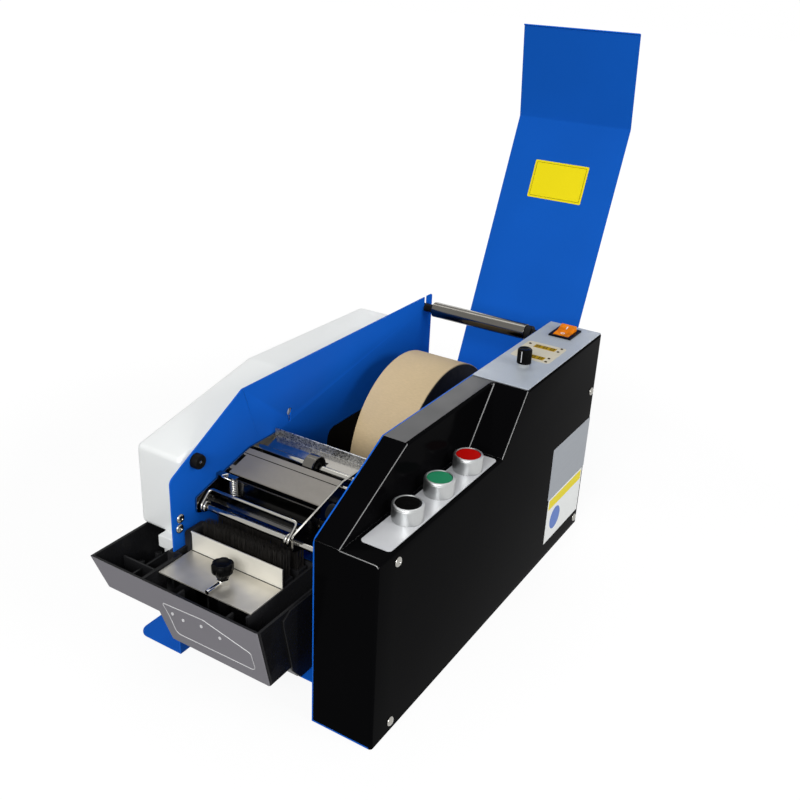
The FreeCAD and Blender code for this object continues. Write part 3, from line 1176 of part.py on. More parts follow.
def water_tank():
    floor_line = [("-tank_front", "tank_rim"),
                  ("-tank_front + tank_lean", "deep_floor"),
                  ("-deep_back", "deep_floor"),
                  ("brush_front", "brush_floor"),
                  ("tank_back", "brush_floor"),
                  ("tank_back", "tank_rim")]
    deep = prism("tank_deep", "YZ", floor_line, "tank_inset", "tank_right - tank_inset")
    under = prism("tank_under", "XZ", [("-1", "shallow_floor"), ("deep_start", "shallow_floor"),
                                       ("deep_start + deep_slant", "deep_floor"),
                                       ("deep_start + deep_slant", "0"), ("-1", "0")],
                  "-tank_front - 5", "tank_front + 4")
    shallow_front = "-tank_front + %s * (tank_rim - shallow_floor)" % FRONT_LEAN
    shallow = prism("tank_shallow", "YZ", [("-tank_front", "tank_rim"), (shallow_front, "shallow_floor"),
                                           ("-1", "shallow_floor"), ("-1", "tank_rim")],
                    "-tank_left", "tank_left + deep_start + 2")
    arm = slab("tank_arm", "-tank_left", "-2", "shallow_floor", "tank_left - arm_gap", "arm_back + 2",
               "tank_rim - shallow_floor")
    end = prism("tank_end_slope", "XZ", [("-tank_left", "tank_rim"), ("-tank_left + tank_side_lean",
                                                                      "shallow_floor"),
                                         ("-tank_left + tank_side_lean", "shallow_floor - 5"),
                                         ("-tank_left - 5", "shallow_floor - 5"),
                                         ("-tank_left - 5", "tank_rim")],
                "-tank_front - 5", "tank_front + arm_back + 10")
    outside = cut("tank_outside", fuse("tank_blank", [cut("tank_deep_cut", deep, [under]), shallow, arm]),
                  [end])

    def moulded(middle, direction):
        on_right = abs(middle.x - size("frame_width") + size("tank_margin")) < 0.01
        return on_right and middle.z < size("tank_rim") - 1

    outside = soften("tank_rounded", outside, "crown_radius", moulded)

    wall = "tank_wall"
    top = "tank_rim + 1"
    deep_space = prism("tank_deep_space", "YZ", [
        ("-tank_front + tank_wall * sqrt(1 + %s * %s) - %s" % (FRONT_LEAN, FRONT_LEAN, FRONT_LEAN), top),
        ("-tank_front + tank_lean + tank_wall * (sqrt(1 + %s * %s) - %s)" % (FRONT_LEAN, FRONT_LEAN,
                                                                             FRONT_LEAN),
         "deep_floor + tank_wall"),
        ("-deep_back + 0.4 * tank_wall", "deep_floor + tank_wall"),
        ("brush_front + 0.4 * tank_wall", "brush_floor + tank_wall"),
        ("tank_back - tank_wall", "brush_floor + tank_wall"), ("tank_back - tank_wall", top)],
        "divider_left + divider_gauge", "tank_right - tank_wall - divider_left - divider_gauge")
    under_space = prism("tank_under_space", "XZ", [
        ("0", "shallow_floor + tank_wall"), ("deep_start + tank_wall", "shallow_floor + tank_wall"),
        ("deep_start + deep_slant + tank_wall", "deep_floor + tank_wall"),
        ("deep_start + deep_slant + tank_wall", "0"), ("0", "0")],
        "-tank_front - 5", "tank_front + 4 + tank_wall")
    shallow_side = prism("tank_shallow_side", "YZ", [
        ("-tank_front + tank_wall * sqrt(1 + %s * %s) - %s" % (FRONT_LEAN, FRONT_LEAN, FRONT_LEAN), top),
        (shallow_front + " + tank_wall * (sqrt(1 + %s * %s) - %s)" % (FRONT_LEAN, FRONT_LEAN, FRONT_LEAN),
         "shallow_floor + tank_wall"),
        ("-1 - tank_wall", "shallow_floor + tank_wall"), ("-1 - tank_wall", top)],
        "-tank_left", "tank_left + divider_left")
    shallow_end = prism("tank_shallow_front", "XZ", [
        ("-tank_left + tank_wall", top),
        ("-tank_left + tank_side_lean + tank_wall", "shallow_floor + tank_wall"),
        ("divider_left", "shallow_floor + tank_wall"), ("divider_left", top)],
        "-tank_front", "tank_front")
    shallow_space = overlap("tank_shallow_space", shallow_side, shallow_end)
    arm_space = prism("tank_arm_space", "XZ", [
        ("-tank_left + tank_wall", top),
        ("-tank_left + tank_side_lean + tank_wall", "shallow_floor + tank_wall"),
        ("-arm_gap - tank_wall", "shallow_floor + tank_wall"), ("-arm_gap - tank_wall", top)],
        "-2 - tank_wall", "arm_back + 2")
    brush_side = slab("tank_brush_side", "tank_inset + tank_wall", "tank_wall - 1",
                      "brush_floor + tank_wall",
                      "divider_left + divider_gauge + 1 - tank_inset - tank_wall",
                      "tank_back - 2 * tank_wall + 1",
                      "tank_rim")
    flow = slab("tank_flow_hole", "divider_left - 1", "-20", "shallow_floor + tank_wall",
                "divider_gauge + 2", "9", "16")
    hollow = cut("tank_hollow", outside, [cut("tank_deep_room", deep_space, [under_space]), shallow_space,
                                          arm_space,
                                          brush_side, flow])

    ledge_up = "press_plate_up - press_plate_gauge"
    floor_in = "(deep_floor + tank_wall)"
    boss = rod("tank_boss", "Z", "stud_across", "-stud_ahead", floor_in + " - 1", "6",
               ledge_up + " - %s + 1" % floor_in)
    ribs = [slab("tank_rib_%d" % number, across, "-tank_front + tank_wall", floor_in + " + 20", "2",
                 "tank_front - tank_wall - press_plate_front - 1", "tank_rim - 8 - %s - 20" % floor_in)
            for number, across in enumerate(("deep_start + 20", "deep_start + 76"))]
    baffle = slab("tank_baffle", "press_plate_left + press_plate_width - 2.2", "-tank_front + tank_lean",
                  "brush_floor + 1", "tank_wall", "tank_front - tank_lean + tank_back - 1",
                  "(%s) - brush_floor - 1" % ledge_up)
    passage = slab("tank_passage", "press_plate_left + press_plate_width - 5", "10",
                   "brush_floor + tank_wall", "10", "30",
                   "20")
    bearers = [slab("tank_bearer_%d" % number, across, "brush_start - 2", "brush_floor + 1", "tank_wall",
                    "tank_back - brush_start + 1", "brush_low - brush_floor - 1")
               for number, across in enumerate(("brush_left + 6", "brush_left + brush_width - 9"))]
    furniture = cut("tank_furniture", fuse("tank_furniture_blank", [boss, baffle] + ribs + bearers),
                    [passage])
    trimmed = overlap("tank_furniture_trim", furniture, deep_clone(floor_line))
    stud_hole = rod("tank_stud_hole", "Z", "stud_across", "-stud_ahead", floor_in + " + 2",
                    "stud_radius + fit_gap", "100")
    keep("water_tank", cut("tank", fuse("tank_full", [hollow, trimmed]), [stud_hole]))


def deep_clone(floor_line):
    """The deep part's outer block again, which keeps the ribs inside the tank's walls."""
    return prism("tank_rib_limit", "YZ", floor_line, "tank_inset + 1", "tank_right - tank_inset - 2")


def press_plate():
    gauge = "press_plate_gauge"
    sheet_flat = prism("press_sheet", "YZ", [
        ("-press_plate_front", "press_plate_up - " + gauge),
                                             ("press_plate_back", "press_plate_up - " + gauge),
        ("press_plate_back", "press_plate_up + press_plate_flange"),
        ("press_plate_back - " + gauge, "press_plate_up + press_plate_flange"),
        ("press_plate_back - " + gauge, "press_plate_up"), ("-press_plate_front", "press_plate_up")],
        "press_plate_left", "press_plate_width", (("press_plate_gauge", (1,)),))
    hole = rod("press_hole", "Z", "stud_across", "-stud_ahead", "press_plate_up - 5",
               "stud_radius + fit_gap", "10")
    keep("press_plate", cut("press", sheet_flat, [hole]))

    grip = rod("tray_grip", "Z", "stud_across", "-stud_ahead", "tray_knob_low", "tray_knob_radius",
               "tray_knob_height")
    stud = rod("tray_stud", "Z", "stud_across", "-stud_ahead", "press_plate_up - 30", "stud_radius",
               "tray_knob_low - press_plate_up + 31")
    keep("tray_knob", fuse("tray_knob_blank", [grip, stud]))

    nut = doc.addObject("Part::Prism", "tray_nut")
    nut.Polygon = 6
    bind(nut, "Circumradius", "nut_radius")
    bind(nut, "Height", "nut_height")
    put(nut, "stud_across", "-stud_ahead", "press_plate_up")
    pin = rod("tray_nut_pin", "Y", "stud_across", "-stud_ahead - nut_radius - nut_pin_length + 3",
              "press_plate_up + nut_height / 2", "nut_pin_radius", "nut_pin_length")
    bore = rod("tray_nut_bore", "Z", "stud_across", "-stud_ahead", "press_plate_up - 1",
               "stud_radius + fit_gap", "10")
    keep("tray_knob_nut", cut("tray_nut_cut", fuse("tray_nut_blank", [nut, pin]), [bore]))


def brushes():
    made = []
    for number in range(2):
        front = "(brush_start + %d * brush_pitch)" % number
        block = slab("brush_block_%d" % number, "brush_left", front, "brush_low", "brush_width",
                     "brush_depth", "brush_block")
        hair = slab("brush_hair_%d" % number, "brush_left + 3",
                    front + " + (brush_depth - bristle_depth) / 2",
                    "brush_low + brush_block", "brush_width - 6", "bristle_depth", "brush_length")
        made.append(fuse("brush_%d" % number, [block, hair]))
    keep("brushes", group("brush_set", made))


def bottle_outline(inset):
    rise = "((bottle_high - bottle_shoulder) / (bottle_crest - bottle_front))"
    drop = "%s * (sqrt(1 + %s * %s) - %s)" % (inset, rise, rise, rise)
    return [("bottle_front + " + inset, "bottle_low + " + inset),
            ("bottle_back - " + inset, "bottle_low + " + inset),
            ("bottle_back - " + inset, "bottle_tail - " + inset),
            ("bottle_crest", "bottle_high - " + inset),
            ("bottle_front + " + inset, "bottle_shoulder - " + drop)]


def rounded_block(name, inset, radius):
    """The bottle's block with every edge rounded."""
    body = prism(name, "YZ", bottle_outline(inset), "-bottle_left + " + inset,
                 "bottle_left - bottle_gap - 2 * (%s)" % inset)
    pad = body.Tip
    fillet = body.newObject("PartDesign::Fillet", name + "_round")
    fillet.Base = (pad, ["Edge%d" % (number + 1) for number in range(len(pad.Shape.Edges))])
    bind(fillet, "Radius", radius)
    body.Tip = fillet
    doc.recompute()
    return body


def water_bottle():
    outside = rounded_block("bottle_outside", "0", "bottle_round")
    inside = rounded_block("bottle_inside", "bottle_wall", "bottle_round - bottle_wall")
    spout = rod("bottle_spout", "Z", "-spout_across", "spout_along", "bottle_low - spout_length",
                "spout_radius",
                "spout_length + bottle_wall")
    bore = rod("bottle_bore", "Z", "-spout_across", "spout_along", "bottle_low - spout_length - 1",
               "spout_radius - bottle_wall", "spout_length + bottle_wall + 2")
    keep("water_bottle", cut("bottle", fuse("bottle_blank", [outside, spout]), [inside, bore]))

    low = "bottle_low - spout_length - valve_base"
    shell = rod("valve_shell", "Z", "-spout_across", "spout_along", low, "spout_radius + valve_wall",
                "valve_base + valve_depth")
    socket = rod("valve_socket", "Z", "-spout_across", "spout_along", "bottle_low - spout_length",
                 "spout_radius", "50")
    drip = rod("valve_drip", "Z", "-spout_across", "spout_along", low + " - 1", "3", "50")
    keep("bottle_cap", cut("valve", shell, [socket, drip]))

    gauge = "sheet_gauge"
    left = "(bottle_left + part_gap + sheet_gauge)"
    floor = slab("shelf_floor", "-" + left, "shelf_start", "bottle_low - " + gauge, left,
                 "shelf_end - shelf_start", gauge)
    lip = slab("shelf_edge", "-" + left, "shelf_start", "bottle_low - " + gauge, gauge,
               "shelf_end - shelf_start",
               "shelf_lip + " + gauge)
    drop = slab("shelf_flange", "-" + gauge, "shelf_start", "bottle_low - shelf_drop", gauge,
                "shelf_end - shelf_start",
                "shelf_drop")
    keep("bottle_shelf", fuse("shelf", [floor, lip, drop]))


def lid():
    gauge = "sheet_gauge"
    back = "(frame_length - lid_back_gap)"
    drop = "(sheet_gauge * sqrt(1 + %s * %s))" % (SLOPE, SLOPE)
    left = "sheet_gauge + lid_gap"
    width = "(frame_width - 2 * (sheet_gauge + lid_gap))"
    skirt_end = "(frame_height - lid_skirt)"
    tip = "(nose_height + %s * lid_setback)" % SLOPE
    shell = prism("lid_sheet", "YZ", [
        ("lid_setback", tip + " - lid_lip"), ("lid_setback + " + gauge, tip + " - lid_lip"),
        ("lid_setback + " + gauge, "%s + %s * sheet_gauge - %s" % (tip, SLOPE, drop)),
        ("slope_reach + (%s - sheet_gauge) / %s" % (drop, SLOPE), "frame_height - sheet_gauge"),
        (back + " - sheet_gauge", "frame_height - sheet_gauge"), (back + " - sheet_gauge", skirt_end),
        (back, skirt_end), (back, "frame_height"), ("slope_reach", "frame_height"), ("lid_setback", tip)],
        left, width, (("lid_bend", (3, 8)), ("crown_radius", (7,))))
    parts = [shell]
    holes = []
    for side, start in (("left", left), ("right", left + " + %s - sheet_gauge" % width)):
        ear = prism("lid_ear_" + side, "YZ", [
            (back, skirt_end + " + 25"), ("lid_pin_along - lid_ear", "lid_pin_up + lid_ear"),
            ("lid_pin_along - lid_ear", "lid_pin_up - lid_ear"),
                                              ("lid_pin_along + lid_ear", "lid_pin_up - lid_ear"),
            (back, skirt_end)], start, "sheet_gauge", (("crown_radius", (2, 3)),))
        parts.append(ear)
        holes.append(rod("lid_hole_" + side, "X", "(%s) - 1" % start, "lid_pin_along", "lid_pin_up",
                         "lid_pin_radius + fit_gap", "sheet_gauge + 2"))
    flap = keep("lid", cut("lid_cut", fuse("lid_blank", parts), holes))
    turn_about_x(flap, "lid_pin_along", "lid_pin_up", "-lid_open")

    keep("lid_pin", rod("hinge_pin", "X", "0", "lid_pin_along", "lid_pin_up", "lid_pin_radius",
                        "frame_width"))
    bumpers = [rod("bumper_left", "X", "sheet_gauge", "bumper_along", "bumper_up", "bumper_radius",
                   "bumper_length"),
               rod("bumper_right", "X", RIGHT_IN + " - bumper_length", "bumper_along", "bumper_up",
                   "bumper_radius",
                   "bumper_length")]
    keep("lid_bumpers", group("bumper_set", bumpers))


def rubber_feet():
    pads = [rod("foot_pad_%d" % number, "Z", across, along, "0", "pad_radius", "pad_height")
            for number, (across, along) in enumerate(
                (across, along)
                for across in ("pad_side_inset - foot_width", HOUSING_RIGHT + " - pad_side_inset")
                for along in ("pad_inset", "frame_length - pad_inset"))]
    keep("rubber_feet", group("pad_set", pads))


def centre_on_origin():
    """Move every sub-part so that the origin is the bottom centre of the whole bounding box."""
    whole = FreeCAD.BoundBox()
    for thing in NODES.values():
        whole.add(thing.Shape.BoundBox)
    shift = FreeCAD.Vector(-whole.Center.x, -whole.Center.y, -whole.ZMin)
    print("shift", tuple(round(step, 4) for step in shift), "size", whole.XLength, whole.YLength,
          whole.ZLength)
    for thing in NODES.values():
        for field, step in (("x", shift.x), ("y", shift.y), ("z", shift.z)):
            path = "Placement.Base." + field
            formulas = dict(thing.ExpressionEngine)
            old = formulas.get(path, formulas.get("." + path))
            if old is None:
                thing.setExpression(path, None)
                continue
            thing.setExpression(path, "(%s) + (%.6f)" % (old, step))
        formulas = {name.lstrip(".") for name, formula in thing.ExpressionEngine}
        base = FreeCAD.Vector(*[0 if "Placement.Base." + axis in formulas else step
                                for axis, step in zip("xyz", shift)])
        thing.Placement.Base = thing.Placement.Base + base
    doc.recompute()


def check_and_write():
    failed = [thing.Name for thing in doc.Objects if {"Invalid", "Error"} & set(thing.State)]
    for label, thing in NODES.items():
        if thing.Shape.isNull() or not thing.Shape.isValid() or not thing.Shape.Solids:
            failed.append(label)
    if failed:
        raise RuntimeError("these failed: " + ", ".join(failed))
    os.makedirs("parts", exist_ok=True)
    for label, thing in NODES.items():
        thing.Shape.exportStep("parts/%s.step" % label)
        print("%-24s %d solids %10.1f mm3" % (label, len(thing.Shape.Solids), thing.Shape.Volume))
    print(len(NODES), "nodes")


side_plates()
base_pan()
back_cover()
housing_cover()
control_panel()
pan_screws()
push_buttons()
panel_knob()
rocker_switch()
electronics()
drive()
feed_cheeks()
feed_plates()
feed_rods()
hold_down_bail()
cutter()
roll_guides()
basket_rollers()
tape()
guide_roller()
water_tank()
press_plate()
brushes()
water_bottle()
lid()
rubber_feet()
doc.recompute()
centre_on_origin()
check_and_write()
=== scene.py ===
import json
import math

import bmesh
import bpy
from bpy.props import FloatProperty, FloatVectorProperty, IntProperty, PointerProperty
from mathutils import Matrix, Vector


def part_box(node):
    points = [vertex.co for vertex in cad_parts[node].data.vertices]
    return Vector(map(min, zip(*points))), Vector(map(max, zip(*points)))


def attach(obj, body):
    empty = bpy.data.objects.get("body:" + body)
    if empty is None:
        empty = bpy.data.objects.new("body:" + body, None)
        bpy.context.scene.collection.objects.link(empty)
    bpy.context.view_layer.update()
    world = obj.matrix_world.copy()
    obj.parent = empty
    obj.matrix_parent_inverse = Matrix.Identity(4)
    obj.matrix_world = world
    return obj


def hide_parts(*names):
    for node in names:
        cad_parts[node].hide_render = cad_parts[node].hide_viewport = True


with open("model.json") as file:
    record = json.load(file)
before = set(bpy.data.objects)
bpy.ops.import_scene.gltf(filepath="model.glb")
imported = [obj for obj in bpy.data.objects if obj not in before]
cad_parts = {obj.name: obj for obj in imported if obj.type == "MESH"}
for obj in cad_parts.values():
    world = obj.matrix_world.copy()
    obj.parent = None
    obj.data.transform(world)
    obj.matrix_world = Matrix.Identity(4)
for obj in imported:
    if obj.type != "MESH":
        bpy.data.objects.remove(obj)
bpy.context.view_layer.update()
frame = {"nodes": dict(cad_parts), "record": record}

bl_info = {
    "name": "Gummed Tape Dispenser",
    "version": (1, 0, 0),
    "blender": (4, 5, 0),
    "location": "View3D > Sidebar > Dispenser",
    "description": "Detailed pieces, finishes and a studio for the gummed tape dispenser's frame",
    "category": "Object",
}

MM = 0.001
PLATE_SPAN = 160.0
ZERO = Vector((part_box("right_side_plate")[1].x - PLATE_SPAN * MM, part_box("right_side_plate")[0].y, 0.0))


def at(x, y, z):
    """A place in the machine: millimetres from the left plate's face, its front edge and the table."""
    return ZERO + Vector((x, y, z)) * MM


def span(node):
    """The lowest and highest corner of a CAD node, in the machine's millimetres."""
    return [(corner - ZERO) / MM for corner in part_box(node)]


def middle(node):
    """The middle of a CAD node's box, in the machine's millimetres."""
    low, high = span(node)
    return (low + high) / 2


def upright(node, zero=0.0):
    """A round CAD node that stands up: its axis at a height, its radius, and its ends from that height."""
    low, high = span(node)
    spot = middle(node)
    return at(spot.x, spot.y, zero), (high.x - low.x) / 2, low.z - zero, high.z - zero


def lying(node):
    """A round CAD node that lies across the machine: its middle, its radius and half its length."""
    low, high = span(node)
    return at(*middle(node)), (high.z - low.z) / 2, (high.x - low.x) / 2


# ------------------------------------------------------------------ settings

def colour_setting(name, description, default):
    return FloatVectorProperty(name=name, description=description, subtype="COLOR", size=3, min=0.0,
                               max=1.0, default=default)


def length_setting(name, description, default):
    return FloatProperty(name=name, description=description, subtype="DISTANCE", unit="LENGTH",
                         default=default, precision=5)


class DispenserFinishes(bpy.types.PropertyGroup):
    """Colours of the machine's finishes."""
    blue: colour_setting("Blue paint", "Satin powder coat of the frame and lid", (0.006, 0.100, 0.50))
    black: colour_setting("Black paint", "Gloss paint of the housing", (0.0022, 0.0022, 0.0025))
    panel: colour_setting("Panel", "Silver control panel", (0.40, 0.44, 0.49))
    overlay: colour_setting("Panel overlay", "Cream film round the displays", (0.60, 0.555, 0.43))
    plastic: colour_setting("Black plastic", "Moulded tank and small parts", (0.005, 0.005, 0.0055))
    # lighter than the rest of the tank: painted light on its front face
    tank_face: colour_setting("Tank face", "Textured front of the tank", (0.215, 0.208, 0.228))
    kraft: colour_setting("Kraft paper", "Outside of the tape roll", (0.64, 0.49, 0.285))
    bottle: colour_setting("Bottle", "Milky polyethylene", (0.86, 0.88, 0.875))
    # near black: the hair's own dark tone deepened with painted shade from inside the tank
    bristle: colour_setting("Bristles", "Wet brush hair", (0.014, 0.012, 0.010))
    go: colour_setting("Green button", "Cap of the middle push button", (0.020, 0.215, 0.100))
    stop: colour_setting("Red button", "Cap of the rear push button", (0.42, 0.003, 0.002))
    rocker: colour_setting("Rocker", "Tinted rocker of the mains switch", (0.80, 0.21, 0.003))
    sticker: colour_setting("Sticker", "Bare sticker inside the lid", (0.88, 0.73, 0.006))


class DispenserDetails(bpy.types.PropertyGroup):
    """Sizes of the details that the frame leaves open."""
    sheet_edge: length_setting("Sheet edge", "Softened edges of sheet parts", 0.35 * MM)
    mould_edge: length_setting("Mould edge", "Softened edges of moulded parts", 0.9 * MM)
    knurls: IntProperty(name="Knurls", description="Flutes round the length knob", default=30, min=8)
    bristle_rows: IntProperty(name="Bristle rows", description="Rows of tufts in a brush", default=4, min=1)
    bristle_tufts: IntProperty(name="Tufts in a row", description="Tufts along a brush", default=34, min=4)
    bristle_hairs: IntProperty(name="Hairs in a tuft", description="Hairs in one tuft", default=16, min=3)


class DispenserStudio(bpy.types.PropertyGroup):
    """Camera and lamps."""
    azimuth: FloatProperty(name="Azimuth", description="Camera round the machine, in degrees", default=30.73)
    elevation: FloatProperty(name="Elevation", description="Camera over the table, in degrees", default=25.03)
    roll: FloatProperty(name="Roll", description="Turn of the picture, in degrees", default=2.78)
    lens: FloatProperty(name="Lens", description="Focal length on a 36 mm sensor", default=43.69,
                        unit="CAMERA")
    camera: FloatVectorProperty(name="Camera", description="Camera's place in the machine, in millimetres",
                                size=3, default=(553.5, -537.1, 631.2))
    key: FloatProperty(name="Key lamp", description="Power of the large lamp in front", default=42.0)
    back: FloatProperty(name="Back lamp", description="Power of the softbox behind", default=4.0)
    top: FloatProperty(name="Top lamp", description="Power of the softbox above", default=4.0)
    side: FloatProperty(name="Side lamp", description="Power of the lamp on the right", default=25.0)
    sky: FloatProperty(name="Sky", description="Strength of the light from straight above", default=0.29)


def finishes():
    return bpy.context.scene.dispenser_finishes


def details():
    return bpy.context.scene.dispenser_details


def studio():
    return bpy.context.scene.dispenser_studio


# ------------------------------------------------------------------ nodes

def feed(socket, value):
    """Link another node's output to a socket, or write a plain value into it."""
    if isinstance(value, bpy.types.NodeSocket):
        socket.id_data.links.new(value, socket)
    else:
        socket.default_value = value


class Nodes:
    """Short ways to add nodes to a tree."""

    def __init__(self, tree):
        self.tree = tree

    def add(self, kind, inputs=(), **fields):
        """A new node with its fields set and its inputs fed."""
        made = self.tree.nodes.new(kind)
        for field, value in fields.items():
            setattr(made, field, value)
        for name, value in dict(inputs).items():
            feed(made.inputs[name], value)
        return made

    def math(self, operation, one, other=0.0):
        return self.add("ShaderNodeMath", {0: one, 1: other}, operation=operation).outputs["Value"]

    def spread(self, factor, low, high, near=0.35, far=0.65):
        """A factor between near and far turned into a number between low and high."""
        return self.add("ShaderNodeMapRange", {"Value": factor, "From Min": near, "From Max": far,
                                               "To Min": low, "To Max": high}).outputs["Result"]

    def seen(self):
        """1 for rays from the camera, from a mirror or through glass, which all show the plain white."""
        path = self.add("ShaderNodeLightPath")
        result = path.outputs["Is Camera Ray"]
        for ray in ("Is Glossy Ray", "Is Transmission Ray"):
            result = self.math("MAXIMUM", result, path.outputs[ray])
        return result


class Recipe(Nodes):
    """A new material, with short ways to add what a finish needs."""

    def __init__(self, name, colour, roughness, metallic=0.0, **sockets):
        self.material = bpy.data.materials.new(name + "_finish")
        self.material.use_nodes = True
        super().__init__(self.material.node_tree)
        self.place = self.add("ShaderNodeTexCoord").outputs["Object"]
        self.set(Base_Color=(*colour, 1.0), Roughness=roughness, Metallic=metallic, **sockets)

    def set(self, **sockets):
        """Feed the shader's sockets, named with _ for a space."""
        for name, value in sockets.items():
            feed(self.tree.nodes["Principled BSDF"].inputs[name.replace("_", " ")], value)

    def noise(self, scale, detail=3.0, stretch=(1, 1, 1)):
        place = self.add("ShaderNodeMapping", {"Vector": self.place, "Scale": stretch}).outputs["Vector"]
        made = self.add("ShaderNodeTexNoise", {"Vector": place, "Scale": scale, "Detail": detail})
        return made.outputs["Fac"]

    def cells(self, scale):
        return self.add("ShaderNodeTexVoronoi", {"Vector": self.place, "Scale": scale}).outputs

    def mix(self, factor, *ends):
        """From one colour to another."""
        one, other = [(*end, 1.0) if isinstance(end, tuple) else end for end in ends]
        made = self.add("ShaderNodeMix", {"Factor": factor, "A": one, "B": other}, data_type="RGBA")
        return made.outputs["Result"]

    def from_axis(self, centre, one, other):
        """Distance from a centre, across two axes."""
        local = self.add("ShaderNodeVectorMath", {0: self.place, 1: centre}, operation="SUBTRACT")
        parts = self.add("ShaderNodeSeparateXYZ", {"Vector": local.outputs["Vector"]}).outputs
        squares = [self.math("POWER", parts[axis], 2.0) for axis in (one, other)]
        return self.math("SQRT", self.math("ADD", *squares))

    def bump(self, height, microns):
        made = self.add("ShaderNodeBump", {"Height": height, "Distance": microns * 1e-6, "Strength": 1.0})
        self.set(Normal=made.outputs["Normal"])

    def edge_wear_and_highlight(self, base, edge, amount):
        """Blend towards an edge colour where the surface is sharply convex: part wear, part painted
        highlight.
        """
        point = self.add("ShaderNodeNewGeometry").outputs["Pointiness"]
        return self.mix(self.spread(point, 0.0, amount, 0.52, 0.60), base, edge)


# ------------------------------------------------------------------ finishes

def shade(colour, factor):
    return tuple(min(1.0, channel * factor) for channel in colour)


def coat(name, colour, roughness, metallic=0.0, mottle=None, sharp=False, edge=None, sheen=None, grain=None,
         cells=None, **sockets):
    """A finish whose colour, roughness and height each follow a noise of (scale, detail, stretch).

    colour: a colour, or the name of a setting. mottle: noise, dark and light tone. sharp: with clear borders.
    edge: tone of the edges, part wear and part painted highlight, and how strong. sheen: noise, lowest and
    highest roughness. grain: noise and microns of height. cells: scale and microns of height. A tone is a
    colour, or a share of the finish's own.
    """
    base = tuple(getattr(finishes(), colour)) if isinstance(colour, str) else colour
    recipe = Recipe(name, base, roughness, metallic, **sockets)

    def tone(value):
        return value if isinstance(value, tuple) else shade(base, value)

    if mottle:
        noise, dark, light = mottle
        factor = recipe.noise(*noise)
        body = recipe.mix(recipe.spread(factor, 0, 1) if sharp else factor, tone(dark), tone(light))
        recipe.set(Base_Color=recipe.edge_wear_and_highlight(body, tone(edge[0]), edge[1]) if edge else body)
    if sheen:
        noise, low, high = sheen
        recipe.set(Roughness=recipe.spread(recipe.noise(*noise), low, high))
    if grain:
        recipe.bump(recipe.noise(*grain[0]), grain[1])
    if cells:
        recipe.bump(recipe.cells(cells[0])["Distance"], cells[1])
    return recipe.material


def brushed(colour, along="X", roughness=0.27, microns=12):
    """Steel with fine scratches that run along one axis."""
    lines = (2600, 4, tuple(0.02 if axis == along else 1 for axis in "XYZ"))
    return dict(colour=colour, roughness=roughness, metallic=1.0, mottle=((30, 4), 0.90, 1.08),
                sheen=(lines, roughness - 0.07, roughness + 0.09), grain=(lines, microns))


